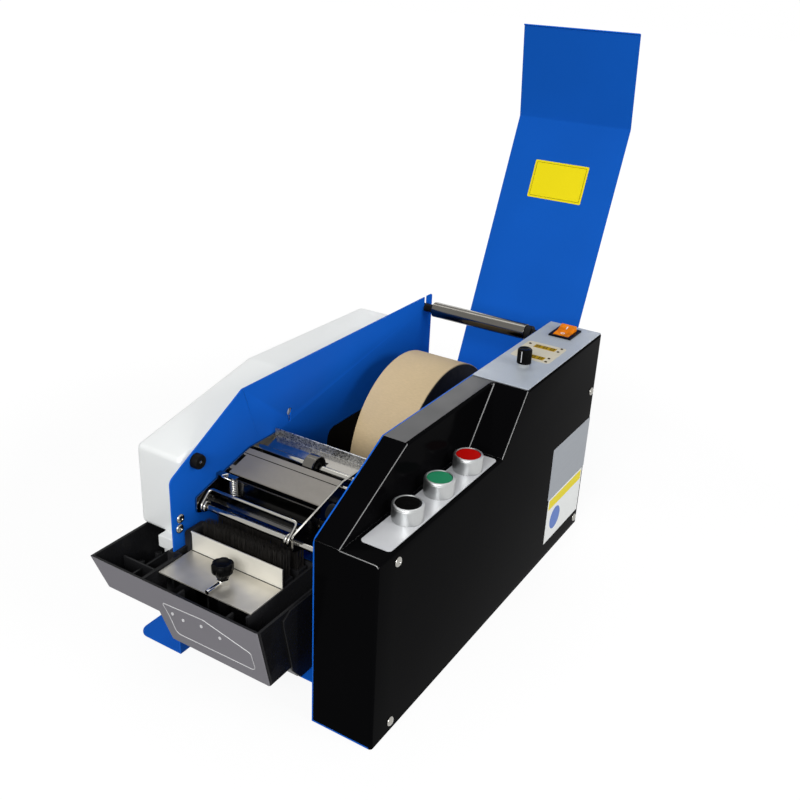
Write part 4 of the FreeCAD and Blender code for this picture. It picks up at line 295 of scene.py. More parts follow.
SCRATCHES = (2600, 4, (0.02, 1, 1))
CAP = dict(
    roughness=0.34, mottle=((60, 3), 0.93, 1.07), sheen=((300, 3), 0.28, 0.40), grain=((1600, 2), 10),
    IOR=1.1)
COATS = {
    "blue_paint": dict(
        colour="blue", roughness=0.34, mottle=((7, 2), 0.95, 1.05), sharp=True, edge=(1.5, 0.4),
        sheen=((260, 4), 0.29, 0.39), grain=((1500, 3), 20), IOR=1.1),
    "black_paint": dict(
        colour="black", roughness=0.10, mottle=((12,), 0.8, 1.2), sheen=((90, 5), 0.07, 0.14),
        grain=((420, 2), 10), IOR=1.035),
    # the same paint, duller and painted lighter grey on top of the housing as a painted reflection of the
    # light above
    "satin_black": dict(
        colour=(0.07, 0.07, 0.072), roughness=0.34, sheen=((40, 3), 0.30, 0.38), IOR=1.2,
        mottle=((11, 2), (0.06, 0.06, 0.062), (0.08, 0.08, 0.082))),
    # and painted lighter over the rounded folds, as a painted highlight
    "polished_fold": dict(
        colour=(0.26, 0.26, 0.26), roughness=0.26, metallic=0.7,
        mottle=((60, 3), (0.18, 0.18, 0.18), (0.32, 0.32, 0.32))),
    "silver_paint": dict(
        colour="panel", roughness=0.45, metallic=0.15, mottle=((2600, 1), 0.93, 1.07), sharp=True,
        sheen=((60, 3), 0.38, 0.50), grain=((1800, 2), 10), Specular_IOR_Level=0.4),
    "label_film": dict(
        colour=(0.62, 0.63, 0.65), roughness=0.30, metallic=0.15,
        mottle=((30, 3), (0.52, 0.53, 0.56), (0.70, 0.71, 0.72)), grain=((900, 2), 10)),
    "cream_film": dict(colour="overlay", roughness=0.42, mottle=((40, 4), 0.95, 1.05), grain=((1400, 2), 10)),
    "grey_paint": dict(
        colour=(0.20, 0.185, 0.16), roughness=0.42, metallic=0.2,
        mottle=((24, 5, (1, 3, 3)), (0.185, 0.17, 0.145), (0.225, 0.208, 0.18)),
        sheen=((300, 3), 0.36, 0.5), grain=((1700, 2), 10)),
    "steel": brushed((0.36, 0.35, 0.33)),
    "roller_steel": brushed((0.13, 0.124, 0.112), roughness=0.15),
    "dark_steel": brushed((0.10, 0.098, 0.095), roughness=0.14, microns=4),
    "aluminium": brushed((0.50, 0.51, 0.51), "Z", 0.36, 4),
    # satin sheet, its patches painted as a blurred reflection, and its upright flange, painted brighter as
    # painted light
    "steel_plate": dict(
        colour=(0.62, 0.59, 0.53), roughness=0.34, metallic=0.65, sharp=True,
        mottle=((16, 3), (0.36, 0.345, 0.315), (0.62, 0.59, 0.52)),
        sheen=(SCRATCHES, 0.30, 0.44), grain=(SCRATCHES, 6)),
    "bright_plate": dict(
        colour=(0.90, 0.87, 0.78), roughness=0.40, metallic=0.35,
        mottle=((18, 3), (0.78, 0.75, 0.66), (0.90, 0.88, 0.80)),
        sheen=(SCRATCHES, 0.34, 0.48), grain=(SCRATCHES, 6)),
    "chrome": dict(
        colour=(0.38, 0.37, 0.34), roughness=0.10, metallic=1.0,
        mottle=((45, 3), (0.33, 0.32, 0.295), (0.43, 0.42, 0.385)), sheen=((180, 4), 0.06, 0.16)),
    "nickel": dict(
        colour=(0.86, 0.85, 0.82), roughness=0.16, metallic=1.0,
        mottle=((70, 3), (0.80, 0.79, 0.76), (0.92, 0.91, 0.88)), sheen=((240, 4), 0.10, 0.24)),
    "mirror_steel": dict(
        colour=(0.44, 0.42, 0.385), roughness=0.13, metallic=1.0,
        mottle=((35, 3), (0.38, 0.365, 0.34), (0.47, 0.45, 0.41)),
        sheen=((140, 4), 0.10, 0.20), grain=((60, 2), 10)),
    "black_plastic": dict(
        colour="plastic", roughness=0.46, mottle=((30,), 1.0, 1.5), edge=((0.035, 0.035, 0.037), 0.6),
        sheen=((160, 4), 0.40, 0.54), cells=(1500, 20), IOR=1.15),
    "black_gloss_plastic": dict(
        colour="plastic", roughness=0.24, mottle=((30,), 1.0, 1.5), edge=((0.03, 0.03, 0.032), 0.6),
        sheen=((70, 4), 0.18, 0.34), grain=((500, 3), 20), IOR=1.16),
    "tank_face_plastic": dict(
        colour="tank_face", roughness=0.55, mottle=((14, 3), 0.92, 1.08), cells=(1500, 30), IOR=1.2),
    "black_gloss": dict(colour=(0.003, 0.003, 0.003), roughness=0.16, sheen=((120, 4), 0.12, 0.24), IOR=1.12),
    "green_plastic": dict(colour="go", **CAP),
    "red_plastic": dict(colour="stop", **CAP),
    "orange_plastic": dict(
        colour="rocker", roughness=0.16, mottle=((130, 2), 0.7, 1.1), sharp=True, IOR=1.15,
        Subsurface_Weight=0.15, Subsurface_Radius=(0.004, 0.0015, 0.0005)),
    "white_mark": dict(
        colour=(0.9, 0.86, 0.8), roughness=0.4, mottle=((500,), (0.82, 0.78, 0.72), (0.94, 0.9, 0.85))),
    "brown_window": dict(
        colour=(0.40, 0.25, 0.012), roughness=0.14, IOR=1.1,
        mottle=((180, 3), (0.32, 0.19, 0.008), (0.50, 0.32, 0.02))),
    "window_segment": dict(
        colour=(0.035, 0.022, 0.005), roughness=0.25, IOR=1.1,
        mottle=((200,), (0.025, 0.015, 0.003), (0.045, 0.028, 0.006))),
    "light_paint": dict(
        colour=(0.75, 0.75, 0.76), roughness=0.5, mottle=((400,), (0.56, 0.56, 0.57), (0.70, 0.70, 0.71))),
    "bottle_plastic": dict(
        colour="bottle", roughness=0.36, mottle=((9, 3), 0.95, 1.03), sheen=((120, 3), 0.30, 0.44),
        grain=((110, 3), 100), Transmission_Weight=0.05, Subsurface_Weight=0.25,
        Subsurface_Radius=(0.02, 0.02, 0.02)),
    "bristle_hair": dict(
        colour="bristle", roughness=0.55, mottle=((1200, 2, (1, 1, 0.05)), 0.35, 1.3), sharp=True),
    "card": dict(
        colour=(0.42, 0.30, 0.18), roughness=0.8, mottle=((700, 5), (0.34, 0.24, 0.14), (0.48, 0.35, 0.22)),
        grain=((900, 4), 50)),
    "rubber": dict(
        colour=(0.005, 0.005, 0.005), roughness=0.42, mottle=((200, 3), 0.8, 1.4), grain=((1300, 3), 30),
        IOR=1.12),
    "sticker": dict(colour="sticker", roughness=0.4, mottle=((25, 3), 0.96, 1.03), IOR=1.2),
    "rating_film": dict(
        colour=(0.36, 0.385, 0.42), roughness=0.40, IOR=1.2,
        mottle=((400, 2, (1, 0.1, 1)), (0.34, 0.365, 0.40), (0.39, 0.415, 0.45))),
    "white_film": dict(
        colour=(0.90, 0.92, 0.91), roughness=0.38, mottle=((30,), (0.88, 0.90, 0.89), (0.93, 0.95, 0.94)),
        IOR=1.2),
    "blue_film": dict(
        colour=(0.02, 0.12, 0.50), roughness=0.38, mottle=((60,), (0.018, 0.11, 0.46), (0.022, 0.13, 0.54))),
}


def spring_steel():
    """Bright on the outside of each turn, with painted shade dark between the turns."""
    recipe = Recipe("spring_steel", (0.80, 0.79, 0.76), 0.22, 0.9)
    corners = [Vector(corner) for corner in frame["nodes"]["cutter_spring"].bound_box]
    centre = sum(corners, Vector()) / len(corners)
    outside = max(corner.x for corner in corners) - centre.x
    reach = recipe.from_axis(centre, "X", "Y")
    tone = recipe.spread(reach, 0.0, 1.0, outside - 0.36 * MM, outside - 0.03 * MM)
    recipe.set(Base_Color=recipe.mix(tone, (0.012, 0.012, 0.012), (0.90, 0.89, 0.86)))
    return recipe.material


def zinc():
    """Galvanised sheet with its small bright and dark spangles."""
    recipe = Recipe("zinc", (0.42, 0.43, 0.44), 0.33, 1.0)
    grey = recipe.add("ShaderNodeSeparateXYZ", {"Vector": recipe.cells(900.0)["Color"]}).outputs["X"]
    recipe.set(Base_Color=recipe.mix(grey, (0.22, 0.23, 0.25), (0.62, 0.62, 0.61)),
               Roughness=recipe.spread(grey, 0.22, 0.46, 0.0, 1.0))
    return recipe.material


def board():
    """Green circuit board with lighter tracks."""
    recipe = Recipe("board", (0.03, 0.16, 0.06), 0.35)
    tracks = recipe.add("ShaderNodeTexBrick", {"Vector": recipe.place, "Scale": 120.0}).outputs["Color"]
    tone = recipe.spread(tracks, 0.0, 1.0, 0.0, 1.0)
    recipe.set(Base_Color=recipe.mix(tone, (0.02, 0.12, 0.045), (0.05, 0.22, 0.09)))
    return recipe.material


def kraft_paper():
    """The roll's outside: long fibres and broad clouds."""
    base = tuple(finishes().kraft)
    recipe = Recipe("kraft_paper", base, 0.62, Specular_IOR_Level=0.3)
    fibre = recipe.spread(recipe.noise(900, 5, (0.25, 1, 1)), 0, 1)
    cloud = recipe.spread(recipe.noise(22, 4), 0, 1)
    fine = recipe.mix(fibre, shade(base, 0.95), shade(base, 1.04))
    recipe.set(Base_Color=recipe.mix(recipe.math("MULTIPLY", cloud, 0.5), fine, shade(base, 0.90)))
    recipe.bump(recipe.noise(1400, 4), 30)
    return recipe.material


def wound_paper():
    """The sides of the roll: thin rings of paper edges round the roll's axis."""
    base = tuple(finishes().kraft)
    recipe = Recipe("wound_paper", base, 0.75)
    along = recipe.math("MULTIPLY", recipe.from_axis(at(*middle("tape_roll")), "Y", "Z"), 5200.0)
    rings = recipe.add("ShaderNodeTexNoise", {"W": along, "Scale": 1.0}, noise_dimensions="1D")
    tone = recipe.spread(rings.outputs["Fac"], 0, 1)
    recipe.set(Base_Color=recipe.mix(tone, shade(base, 0.62), shade(base, 1.05)))
    recipe.bump(tone, 60)
    return recipe.material


PATTERNS = {make.__name__: make for make in (spring_steel, zinc, board, kraft_paper, wound_paper)}


def finish(name):
    """The material of that name, made on its first use."""
    made = bpy.data.materials.get(name + "_finish")
    return made or (PATTERNS[name]() if name in PATTERNS else coat(name, **COATS[name]))


# ------------------------------------------------------------------ shapes

def rounded(outline, radius, steps=5):
    """A closed outline, anticlockwise or clockwise, with its corners turned into arcs.

    radius is one number, or one for each corner.
    """
    count = len(outline)
    radii = radius if hasattr(radius, "__len__") else [radius] * count
    points = []
    for number in range(count):
        corner = Vector(outline[number])
        back = (Vector(outline[number - 1]) - corner).normalized()
        ahead = (Vector(outline[(number + 1) % count]) - corner).normalized()
        half = back.angle(ahead) / 2
        reach = radii[number] / math.tan(half)
        centre = corner + (back + ahead).normalized() * radii[number] / math.sin(half)
        first = corner + back * reach - centre
        sweep = first.angle_signed(corner + ahead * reach - centre)
        points += [centre + Matrix.Rotation(-sweep * step / steps, 2) @ first for step in range(steps + 1)]
    return points


def rectangle(left, low, right, high):
    return [(left, low), (right, low), (right, high), (left, high)]


def skin(shape, under, over):
    """A closed solid between two rings of places."""
    layers = [[shape.verts.new(spot) for spot in ring] for ring in (under, over)]
    shape.faces.new(layers[0])
    shape.faces.new(reversed(layers[1]))
    for number in range(len(under)):
        after = (number + 1) % len(under)
        shape.faces.new((layers[0][number], layers[1][number], layers[1][after], layers[0][after]))


# where across, up and along go in each plane
PLANES = {"XY": (0, 1, 2), "XZ": (0, 2, 1), "YZ": (2, 0, 1)}


def slab(shape, plane, outline, start, end):
    """A closed outline in a plane, in the machine's millimetres, run from start to end across it."""
    skin(shape, *([at(*((*point, along)[axis] for axis in PLANES[plane])) for point in outline]
                  for along in (start, end)))


AXES = {
    "X": Matrix(((0, 0, 1), (1, 0, 0), (0, 1, 0))),
    "Y": Matrix(((0, 1, 0), (0, 0, 1), (1, 0, 0))),
    "Z": Matrix.Identity(3),
}


def turned(shape, profile, centre, axis="Z", steps=64, wave=None):
    """A closed profile of (radius, height) in millimetres, turned about an axis through centre.

    wave(angle, radius, height) may change the radius round the turn.
    """
    rings = []
    for radius, height in profile:
        ring = []
        for step in range(steps if radius > 1e-6 else 1):
            angle = 2 * math.pi * step / steps
            reach = radius * (wave(angle, radius, height) if wave else 1.0)
            spot = Vector((reach * math.cos(angle), reach * math.sin(angle), height)) * MM
            ring.append(shape.verts.new(centre + AXES[axis] @ spot))
        rings.append(ring)
    for ring, after in zip(rings, rings[1:] + rings[:1]):
        for step in range(steps):
            corners = [(ring, step), (ring, step + 1), (after, step + 1), (after, step)]
            unique = list(dict.fromkeys(each[turn % steps % len(each)] for each, turn in corners))
            if len(unique) > 2:
                shape.faces.new(unique)


def wire(shape, path, radius, sides=12):
    """A round wire of that radius, in millimetres, along places in the machine."""
    side = None
    rings = []
    for number, spot in enumerate(path):
        along = (path[min(number + 1, len(path) - 1)] - path[max(number - 1, 0)]).normalized()
        side = side or along.orthogonal().normalized()
        side = (side - along * side.dot(along)).normalized()
        other = along.cross(side)
        rings.append([shape.verts.new(spot + (side * math.cos(turn) + other * math.sin(turn)) * radius * MM)
                      for turn in (2 * math.pi * step / sides for step in range(sides))])
    for ring, after in zip(rings, rings[1:]):
        for step in range(sides):
            nxt = (step + 1) % sides
            shape.faces.new((ring[step], ring[nxt], after[nxt], after[step]))
    shape.faces.new(reversed(rings[0]))
    shape.faces.new(rings[-1])


def piece(name, shape, look, body="frame", stands_for=(), smooth=40):
    """Turn a finished shape into a piece with its finish, its body and the nodes it stands for."""
    bmesh.ops.recalc_face_normals(shape, faces=shape.faces)
    mesh = bpy.data.meshes.new(name)
    shape.to_mesh(mesh)
    shape.free()
    return settle(name, mesh, look, body, stands_for, smooth)


def settle(name, mesh, look, body="frame", stands_for=(), smooth=40):
    """The same for a mesh. look is one finish, or one for each of its material places."""
    if "custom_normal" in mesh.attributes:
        mesh.attributes.remove(mesh.attributes["custom_normal"])
    looks = [look] if isinstance(look, str) else list(look)
    while len(mesh.materials) < len(looks):
        mesh.materials.append(None)
    for number, each in enumerate(looks):
        mesh.materials[number] = finish(each)
    mesh.shade_smooth()
    mesh.set_sharp_from_angle(angle=math.radians(smooth))
    thing = bpy.data.objects.new(name, mesh)
    bpy.context.collection.objects.link(thing)
    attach(thing, body)
    if stands_for:
        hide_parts(*stands_for)
    return thing


def plate(name, look, plane, outline, start, end, body="frame"):
    """A piece that is one outline with a thickness."""
    shape = bmesh.new()
    slab(shape, plane, outline, start, end)
    return piece(name, shape, look, body)


def soften(thing, width, steps=2, angle=32):
    """Round the edges of a piece by a width in millimetres."""
    for edge in thing.data.edges:
        edge.use_edge_sharp = False
    bevel = thing.modifiers.new("edges", "BEVEL")
    bevel.width = width * MM
    bevel.segments = steps
    bevel.limit_method = "ANGLE"
    bevel.angle_limit = math.radians(angle)
    bevel.use_clamp_overlap = True
    bevel.harden_normals = True
    return thing


def welded(node):
    """A CAD node's mesh as a shape with its flat triangles joined."""
    shape = bmesh.new()
    shape.from_mesh(frame["nodes"][node].data)
    bmesh.ops.remove_doubles(shape, verts=shape.verts, dist=2e-6)
    bmesh.ops.dissolve_limit(shape, angle_limit=math.radians(0.6), verts=shape.verts, edges=shape.edges)
    return shape


def dressed(node, look, body="frame", width=None, steps=2, angle=32, name=None, pick=None):
    """A copy of a CAD node with softened edges, which stands for it.

    With several looks, pick(face) gives a face's place among them.
    """
    shape = welded(node)
    if pick:
        for face in shape.faces:
            face.material_index = int(pick(face))
    thing = piece(name or node + "_dressed", shape, look, body, (node,))
    return soften(thing, width or details().sheet_edge / MM, steps, angle)


def repaint(node, look):
    """Give a carried-over CAD node its finish."""
    data = frame["nodes"][node].data
    data.materials.clear()
    data.materials.append(finish(look))


# ------------------------------------------------------------------ geometry nodes

class Tree(Nodes):
    """A Geometry Nodes tree with named inputs, run on one object and turned into a plain mesh."""

    def __init__(self, name):
        super().__init__(bpy.data.node_groups.new(name, "GeometryNodeTree"))
        self.values = {}
        for way in ("INPUT", "OUTPUT"):
            self.tree.interface.new_socket("Geometry", in_out=way, socket_type="NodeSocketGeometry")
        self.start = self.add("NodeGroupInput")
        self.end = self.add("NodeGroupOutput")

    def setting(self, name, kind, value):
        socket = self.tree.interface.new_socket(name, in_out="INPUT", socket_type=kind)
        self.values[socket.identifier] = value
        return self.start.outputs[name]

    def chance(self, seed, low, high):
        return self.add("FunctionNodeRandomValue", {"Seed": seed, "Min": low, "Max": high},
                        data_type="FLOAT_VECTOR").outputs["Value"]

    def run(self, name, last, look, mesh=None):
        """The tree's result as a mesh; its last steps make it real and set the material."""
        real = self.add("GeometryNodeRealizeInstances", {"Geometry": last})
        painted = self.add("GeometryNodeSetMaterial", {"Geometry": real.outputs["Geometry"],
                                                       "Material": finish(look)})
        feed(self.end.inputs["Geometry"], painted.outputs["Geometry"])
        holder = bpy.data.objects.new(name + "_holder", mesh or bpy.data.meshes.new(name + "_seed"))
        bpy.context.collection.objects.link(holder)
        modifier = holder.modifiers.new("nodes", "NODES")
        modifier.node_group = self.tree
        for identifier, value in self.values.items():
            modifier[identifier] = value
        bpy.context.view_layer.update()
        graph = bpy.context.evaluated_depsgraph_get()
        result = bpy.data.meshes.new_from_object(holder.evaluated_get(graph))
        holder.modifiers.clear()
        bpy.data.objects.remove(holder)
        result.name = name
        return result


def copies(name, part, places, look):
    """A shape about the origin, set at each place by a tree that instances it on points."""
    part_mesh = bpy.data.meshes.new(name + "_part")
    part.to_mesh(part_mesh)
    part.free()
    part_holder = bpy.data.objects.new(name + "_part", part_mesh)
    points = bpy.data.meshes.new(name + "_places")
    points.from_pydata([tuple(place) for place in places], [], [])
    tree = Tree(name + "_copies")
    source = tree.setting("Part", "NodeSocketObject", part_holder)
    info = tree.add("GeometryNodeObjectInfo", {"Object": source})
    spread = tree.add("GeometryNodeInstanceOnPoints",
                      {"Points": tree.start.outputs["Geometry"], "Instance": info.outputs["Geometry"]})
    mesh = tree.run(name, spread.outputs["Instances"], look, points)
    bpy.data.objects.remove(part_holder)
    return mesh


# ------------------------------------------------------------------ operators

class Maker:
    """What the operators share."""
    bl_options = {"REGISTER", "UNDO"}

    def execute(self, context):
        self.make()
        return {"FINISHED"}


class DISPENSER_OT_stage(Maker, bpy.types.Operator):
    """Build the floor, the lamps, the background and the camera"""
    bl_idname = "dispenser.stage"
    bl_label = "Stage"

    def make(self):
        self.camera()
        self.floor()
        self.background()
        power = studio()
        self.lamp("Key", (0.55, -2.05, 1.3), (1.3, 1.0), power.key)
        self.lamp("Back", (-0.6, 1.7, 1.0), (1.0, 0.7), power.back)
        self.lamp("Top", (-0.5, 0.5, 1.75), (1.0, 0.4), power.top)
        self.lamp("Side", (2.1, -0.15, 0.95), (1.0, 0.9), power.side).visible_glossy = False
        bpy.context.scene.view_settings.view_transform = "Standard"

    def camera(self):
        view = studio()
        data = bpy.data.cameras.new("Camera")
        data.sensor_width = 36.0
        data.lens = view.lens
        data.clip_start = 0.01
        camera = bpy.data.objects.new("Camera", data)
        camera.matrix_world = Matrix.Translation(at(*view.camera))
        for angle, axis in ((view.azimuth, "Z"), (90 - view.elevation, "X"), (view.roll, "Z")):
            camera.matrix_world @= Matrix.Rotation(math.radians(angle), 4, axis)
        bpy.context.collection.objects.link(camera)
        bpy.context.scene.camera = camera

    def floor(self):
        mesh = bpy.data.meshes.new("Floor")
        half = 9.0
        mesh.from_pydata([(x, y, 0) for x, y in rectangle(-half, -half, half, half)], [], [range(4)])
        recipe = Recipe("floor_white", (0.11, 0.11, 0.11), 0.9, Specular_IOR_Level=0.0)
        away = recipe.add("ShaderNodeVectorMath", {0: recipe.place}, operation="LENGTH").outputs["Value"]
        strength = recipe.math("MULTIPLY", recipe.seen(), recipe.spread(away, 0.90, 1.0, 0.5, 1.3))
        recipe.set(Emission_Color=(1, 1, 1, 1), Emission_Strength=strength)
        mesh.materials.append(recipe.material)
        floor = bpy.data.objects.new("Floor", mesh)
        bpy.context.collection.objects.link(floor)

    def background(self):
        world = bpy.data.worlds.new("Studio")
        bpy.context.scene.world = world
        world.use_nodes = True
        nodes = Nodes(world.node_tree)
        place = nodes.add("ShaderNodeTexCoord").outputs["Generated"]
        height = nodes.add("ShaderNodeSeparateXYZ", {"Vector": place}).outputs["Z"]
        sky = nodes.spread(height, 0.9 * studio().sky, studio().sky, -0.1, 0.9)
        shader = world.node_tree.nodes["Background"]
        feed(shader.inputs["Color"], (1, 1, 1, 1))
        feed(shader.inputs["Strength"], nodes.math("MAXIMUM", nodes.seen(), sky))

    def lamp(self, name, place, size, power):
        data = bpy.data.lights.new(name, "AREA")
        data.shape = "RECTANGLE"
        data.size, data.size_y = size
        data.energy = power
        lamp = bpy.data.objects.new(name, data)
        lamp.location = place
        lamp.visible_camera = False
        aim = Vector((0, 0, 0.15)) - lamp.location
        lamp.rotation_euler = aim.to_track_quat("-Z", "Y").to_euler()
        bpy.context.collection.objects.link(lamp)
        return lamp


class DISPENSER_OT_frame_sheets(Maker, bpy.types.Operator):
    """Blue sheet parts of the frame: side plates, pan, back cover and bottle shelf"""
    bl_idname = "dispenser.frame_sheets"
    bl_label = "Frame sheets"

    def make(self):
        for node in ("left_side_plate", "right_side_plate", "base_pan", "back_cover", "bottle_shelf"):
            dressed(node, "blue_paint")


class DISPENSER_OT_housing(Maker, bpy.types.Operator):
    """Black housing with its control panel, label plate and side labels"""
    bl_idname = "dispenser.housing"
    bl_label = "Housing"

    def make(self):
        side = span("housing_cover")[1].x
        shell = dressed("housing_cover", ("black_paint", "satin_black", "polished_fold"), width=0.7, steps=3,
                        angle=20, name="housing_shell", pick=self.cover_look)
        # the bevels take the painted highlight finish of the folds as well
        shell.modifiers["edges"].material = 2
        self.front_fold(side)
        dressed("panel_plate", "silver_paint")
        dressed("button_label_plate", "label_film", width=0.2)
        self.overlay()
        self.side_labels(side)

    def cover_look(self, face):
        """The cover's long flat top is duller than the rest and painted lighter as a painted reflection, and
        its rounded folds are painted brighter as a painted highlight.
        """
        up = face.normal
        if up.z > 0.99 and face.calc_center_median().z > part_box("housing_cover")[1].z - 1 * MM:
            return 1
        return 2 if up.z > 0.2 and up.y < -0.2 and 0.62 < up.x < 0.82 else 0

    def front_fold(self, side):
        """A bead painted as a highlight along the front fold of the button deck."""
        deck = span("button_label_plate")[0].z - 0.15
        path = [at(side - 37, 0.25, deck)] + [at(side - 20 + 2 * step, 0.25, deck) for step in range(9)]
        path += [at(side - 3 + 2.75 * math.sin(turn), 0.25, deck - 2.75 * (1 - math.cos(turn)))
                 for turn in (math.radians(15 * step) for step in range(1, 6))]
        bead = bmesh.new()
        wire(bead, path, 0.4, 8)
        piece("front_fold", bead, "polished_fold", smooth=60)

    def overlay(self):
        """Cream film round the displays, with its lamp dots."""
        top = span("panel_plate")[1].z + 0.02
        low, high = span("display_modules")
        film = rounded(rectangle(low.x - 11, low.y - 5, high.x + 9, high.y + 6), 4)
        plate("panel_overlay", "cream_film", "XY", film, top, top + 0.15)
        dot = [(0, 0), (1.5, 0), (1.5, 0.3), (1.1, 0.7), (0, 0.9)]
        dots = bmesh.new()
        for across, along in ((205.3, 372), (205.3, 382), (205, 349), (205.8, 339), (170.7, 377)):
            turned(dots, dot, at(across, along, top + 0.1), steps=20)
        piece("panel_lamps", dots, "window_segment")

    def side_labels(self, side):
        """Bare labels on the housing's side: silver above, white with a yellow band and a blue disc below."""
        for name, look, box, start, proud in (
                ("rating_label", "rating_film", (352, 79.5, 456, 144), 0.01, 0.13),
                ("white_label", "white_film", (355, 21, 452, 79), 0.01, 0.12),
                ("yellow_band", "sticker", (357.5, 64.5, 449.5, 76.5), 0.12, 0.16)):
            plate(name, look, "YZ", rounded(rectangle(*box), 0.8), side + start, side + proud)
        disc = bmesh.new()
        turned(disc, [(0, 0), (14, 0), (14, 0.06), (0, 0.06)], at(side + 0.11, 380, 45.5), "X", 56)
        piece("label_disc", disc, "blue_film")


class DISPENSER_OT_buttons(Maker, bpy.types.Operator):
    """Three push buttons with turned metal bezels and coloured caps"""
    bl_idname = "dispenser.buttons"
    bl_label = "Push buttons"

    def make(self):
        low, high = span("button_bezels")
        label = span("button_label_plate")[1].z
        bezels = bmesh.new()
        for name, look in (("black", "black_gloss"), ("green", "green_plastic"), ("red", "red_plastic")):
            centre, reach, foot, top = upright(name + "_button_cap", label)
            turned(bezels, self.bezel(high.z - label, label - low.z), centre, steps=96)
            cap = bmesh.new()
            turned(cap, [(0, top - 0.25), (reach - 2.0, top - 0.1), (reach - 0.8, top),
                         (reach - 0.25, top - 0.15), (reach, top - 0.6), (reach, top - 5.0), (6, top - 5.2),
                         (6, foot), (0, foot)], centre)
            piece(name + "_cap", cap, look, name + "_button", (name + "_button_cap",))
        piece("bezels", bezels, "aluminium", "frame", ("button_bezels",), smooth=25)
        repaint("button_contact_blocks", "black_plastic")

    def bezel(self, rise, depth):
        """Half section: collar, fine groove and domed ring above, threaded neck below."""
        inner, neck, root, turns = 11.65, 11, 10.6, 10
        section = [(13.7, 0), (13.7, 0.5), (14.1, 0.9), (14.1, rise - 2.6), (13.85, rise - 2.3),
                   (14.2, rise - 2.0)]
        section += [(12.6 + 1.6 * math.cos(turn), rise - 1.6 + 1.6 * math.sin(turn))
                    for turn in (math.radians(angle) for angle in (15, 40, 65, 90))]
        section += [(inner + 0.25, rise), (inner, rise - 0.3), (inner, 6.9), (6.05, 6.9), (6.05, -depth),
                    (neck, -depth)]
        for thread in range(turns):
            up = -depth + (thread + 0.5) * (depth - 1) / turns
            section += [(neck, up), (root, up + 0.5)]
        return section + [(neck, -0.5), (neck, 0)]


class DISPENSER_OT_knob(Maker, bpy.types.Operator):
    """Fluted knob that sets the tape length, and its threaded bush"""
    bl_idname = "dispenser.knob"
    bl_label = "Length knob"

    def make(self):
        centre, reach, foot, top = upright("length_knob")
        base = top - 15.5
        count = details().knurls

        def flute(angle, radius, height):
            if radius < reach - 0.7 or height > top - 1.2 or height < base + 1.5:
                return 1.0
            return 1.0 - 0.055 * (0.5 + 0.5 * math.cos(count * angle)) ** 2

        profile = [(2.4, base), (reach, base), (reach, base + 1.2)]
        profile += [(reach - 0.02, base + 1.6 + step * (top - base - 3.0) / 3) for step in range(4)]
        profile += [(reach - 0.25, top - 1.1), (reach - 1.0, top - 0.3), (reach - 1.6, top),
                    (reach - 2.2, top - 0.25), (0, top - 0.25), (0, foot), (2.4, foot)]
        shape = bmesh.new()
        turned(shape, profile, centre, steps=count * 8, wave=flute)
        piece("length_knob_body", shape, "black_gloss", "dial", ("length_knob",), smooth=30)
        spot = middle("length_knob")
        # a thin pale line up the knob's side, facing the front at rest
        plate("knob_mark", "light_paint", "XZ", rectangle(spot.x - 0.4, base + 2.2, spot.x + 0.4, top - 1.4),
              spot.y - reach - 0.05, spot.y - reach + 0.4, "dial")
        dressed("potentiometer", "nickel", width=0.2)


class DISPENSER_OT_rocker(Maker, bpy.types.Operator):
    """Mains rocker with its I and O marks and black frame"""
    bl_idname = "dispenser.rocker"
    bl_label = "Rocker switch"

    def make(self):
        soften(dressed("rocker_frame", "black_gloss", width=0.5), 0.1)
        dressed("rocker_lever", "orange_plastic", "power_rocker", width=0.45, steps=3)
        joints = {joint["name"]: joint for joint in frame["record"]["behaviour"]["joints"]}
        pivot = Vector(joints["rocker_tilt"]["pos_m"])
        half_range = Matrix.Rotation(math.radians(12), 4, "X")
        tilt = Matrix.Translation(pivot) @ half_range @ Matrix.Translation(-pivot)
        x = middle("rocker_lever").x
        y, z = ((pivot - ZERO) / MM).yz
        slope = math.atan2(2.0, 12.2)
        marks = bmesh.new()
        for mark, centre_y, lean in (("O", y - 6.1, -slope), ("I", y + 6.1, slope)):
            before = len(marks.verts)
            if mark == "I":
                marks.faces.new([marks.verts.new(Vector((*point, 0.12)) * MM)
                                 for point in rectangle(-0.5, -2.4, 0.5, 2.4)])
            else:
                turned(marks, [(1.5, 0.12), (2.3, 0.12), (2.3, 0.0), (1.5, 0.0)], Vector(), steps=32)
            marks.verts.ensure_lookup_table()
            place = Matrix.Translation(at(x, centre_y, z + 5.05)) @ Matrix.Rotation(lean, 4, "X")
            bmesh.ops.transform(marks, matrix=tilt @ place, verts=marks.verts[before:])
        piece("rocker_marks", marks, "white_mark", "power_rocker")


class DISPENSER_OT_electrics(Maker, bpy.types.Operator):
    """Display windows, circuit board, mains inlet and motor"""
    bl_idname = "dispenser.electrics"
    bl_label = "Displays and inlet"

    def make(self):
        dressed("display_modules", "brown_window", width=0.25)
        self.digits()
        repaint("control_board", "board")
        dressed("mains_inlet", "black_plastic", width=0.5)
        dressed("drive_motor", "steel", width=0.6)

    def digits(self):
        """Unlit seven-segment digits under each window."""
        low, high = span("display_modules")
        depth = 9.2
        segments = [(0, dy, 1.6, 0.45) for dy in (3, 0, -3)]
        segments += [(dx, dy, 0.45, 1.1) for dx in (-1.9, 1.9) for dy in (1.5, -1.5)]
        shape = bmesh.new()
        for y in (low.y + depth / 2, high.y - depth / 2):
            for digit in range(3):
                x = low.x + (high.x - low.x) * (digit + 0.5) / 3
                for dx, dy, half_x, half_y in segments:
                    box = rectangle(x + dx - half_x, y + dy - half_y, x + dx + half_x, y + dy + half_y)
                    slab(shape, "XY", box, high.z + 0.01, high.z + 0.06)
        piece("display_digits", shape, "window_segment")


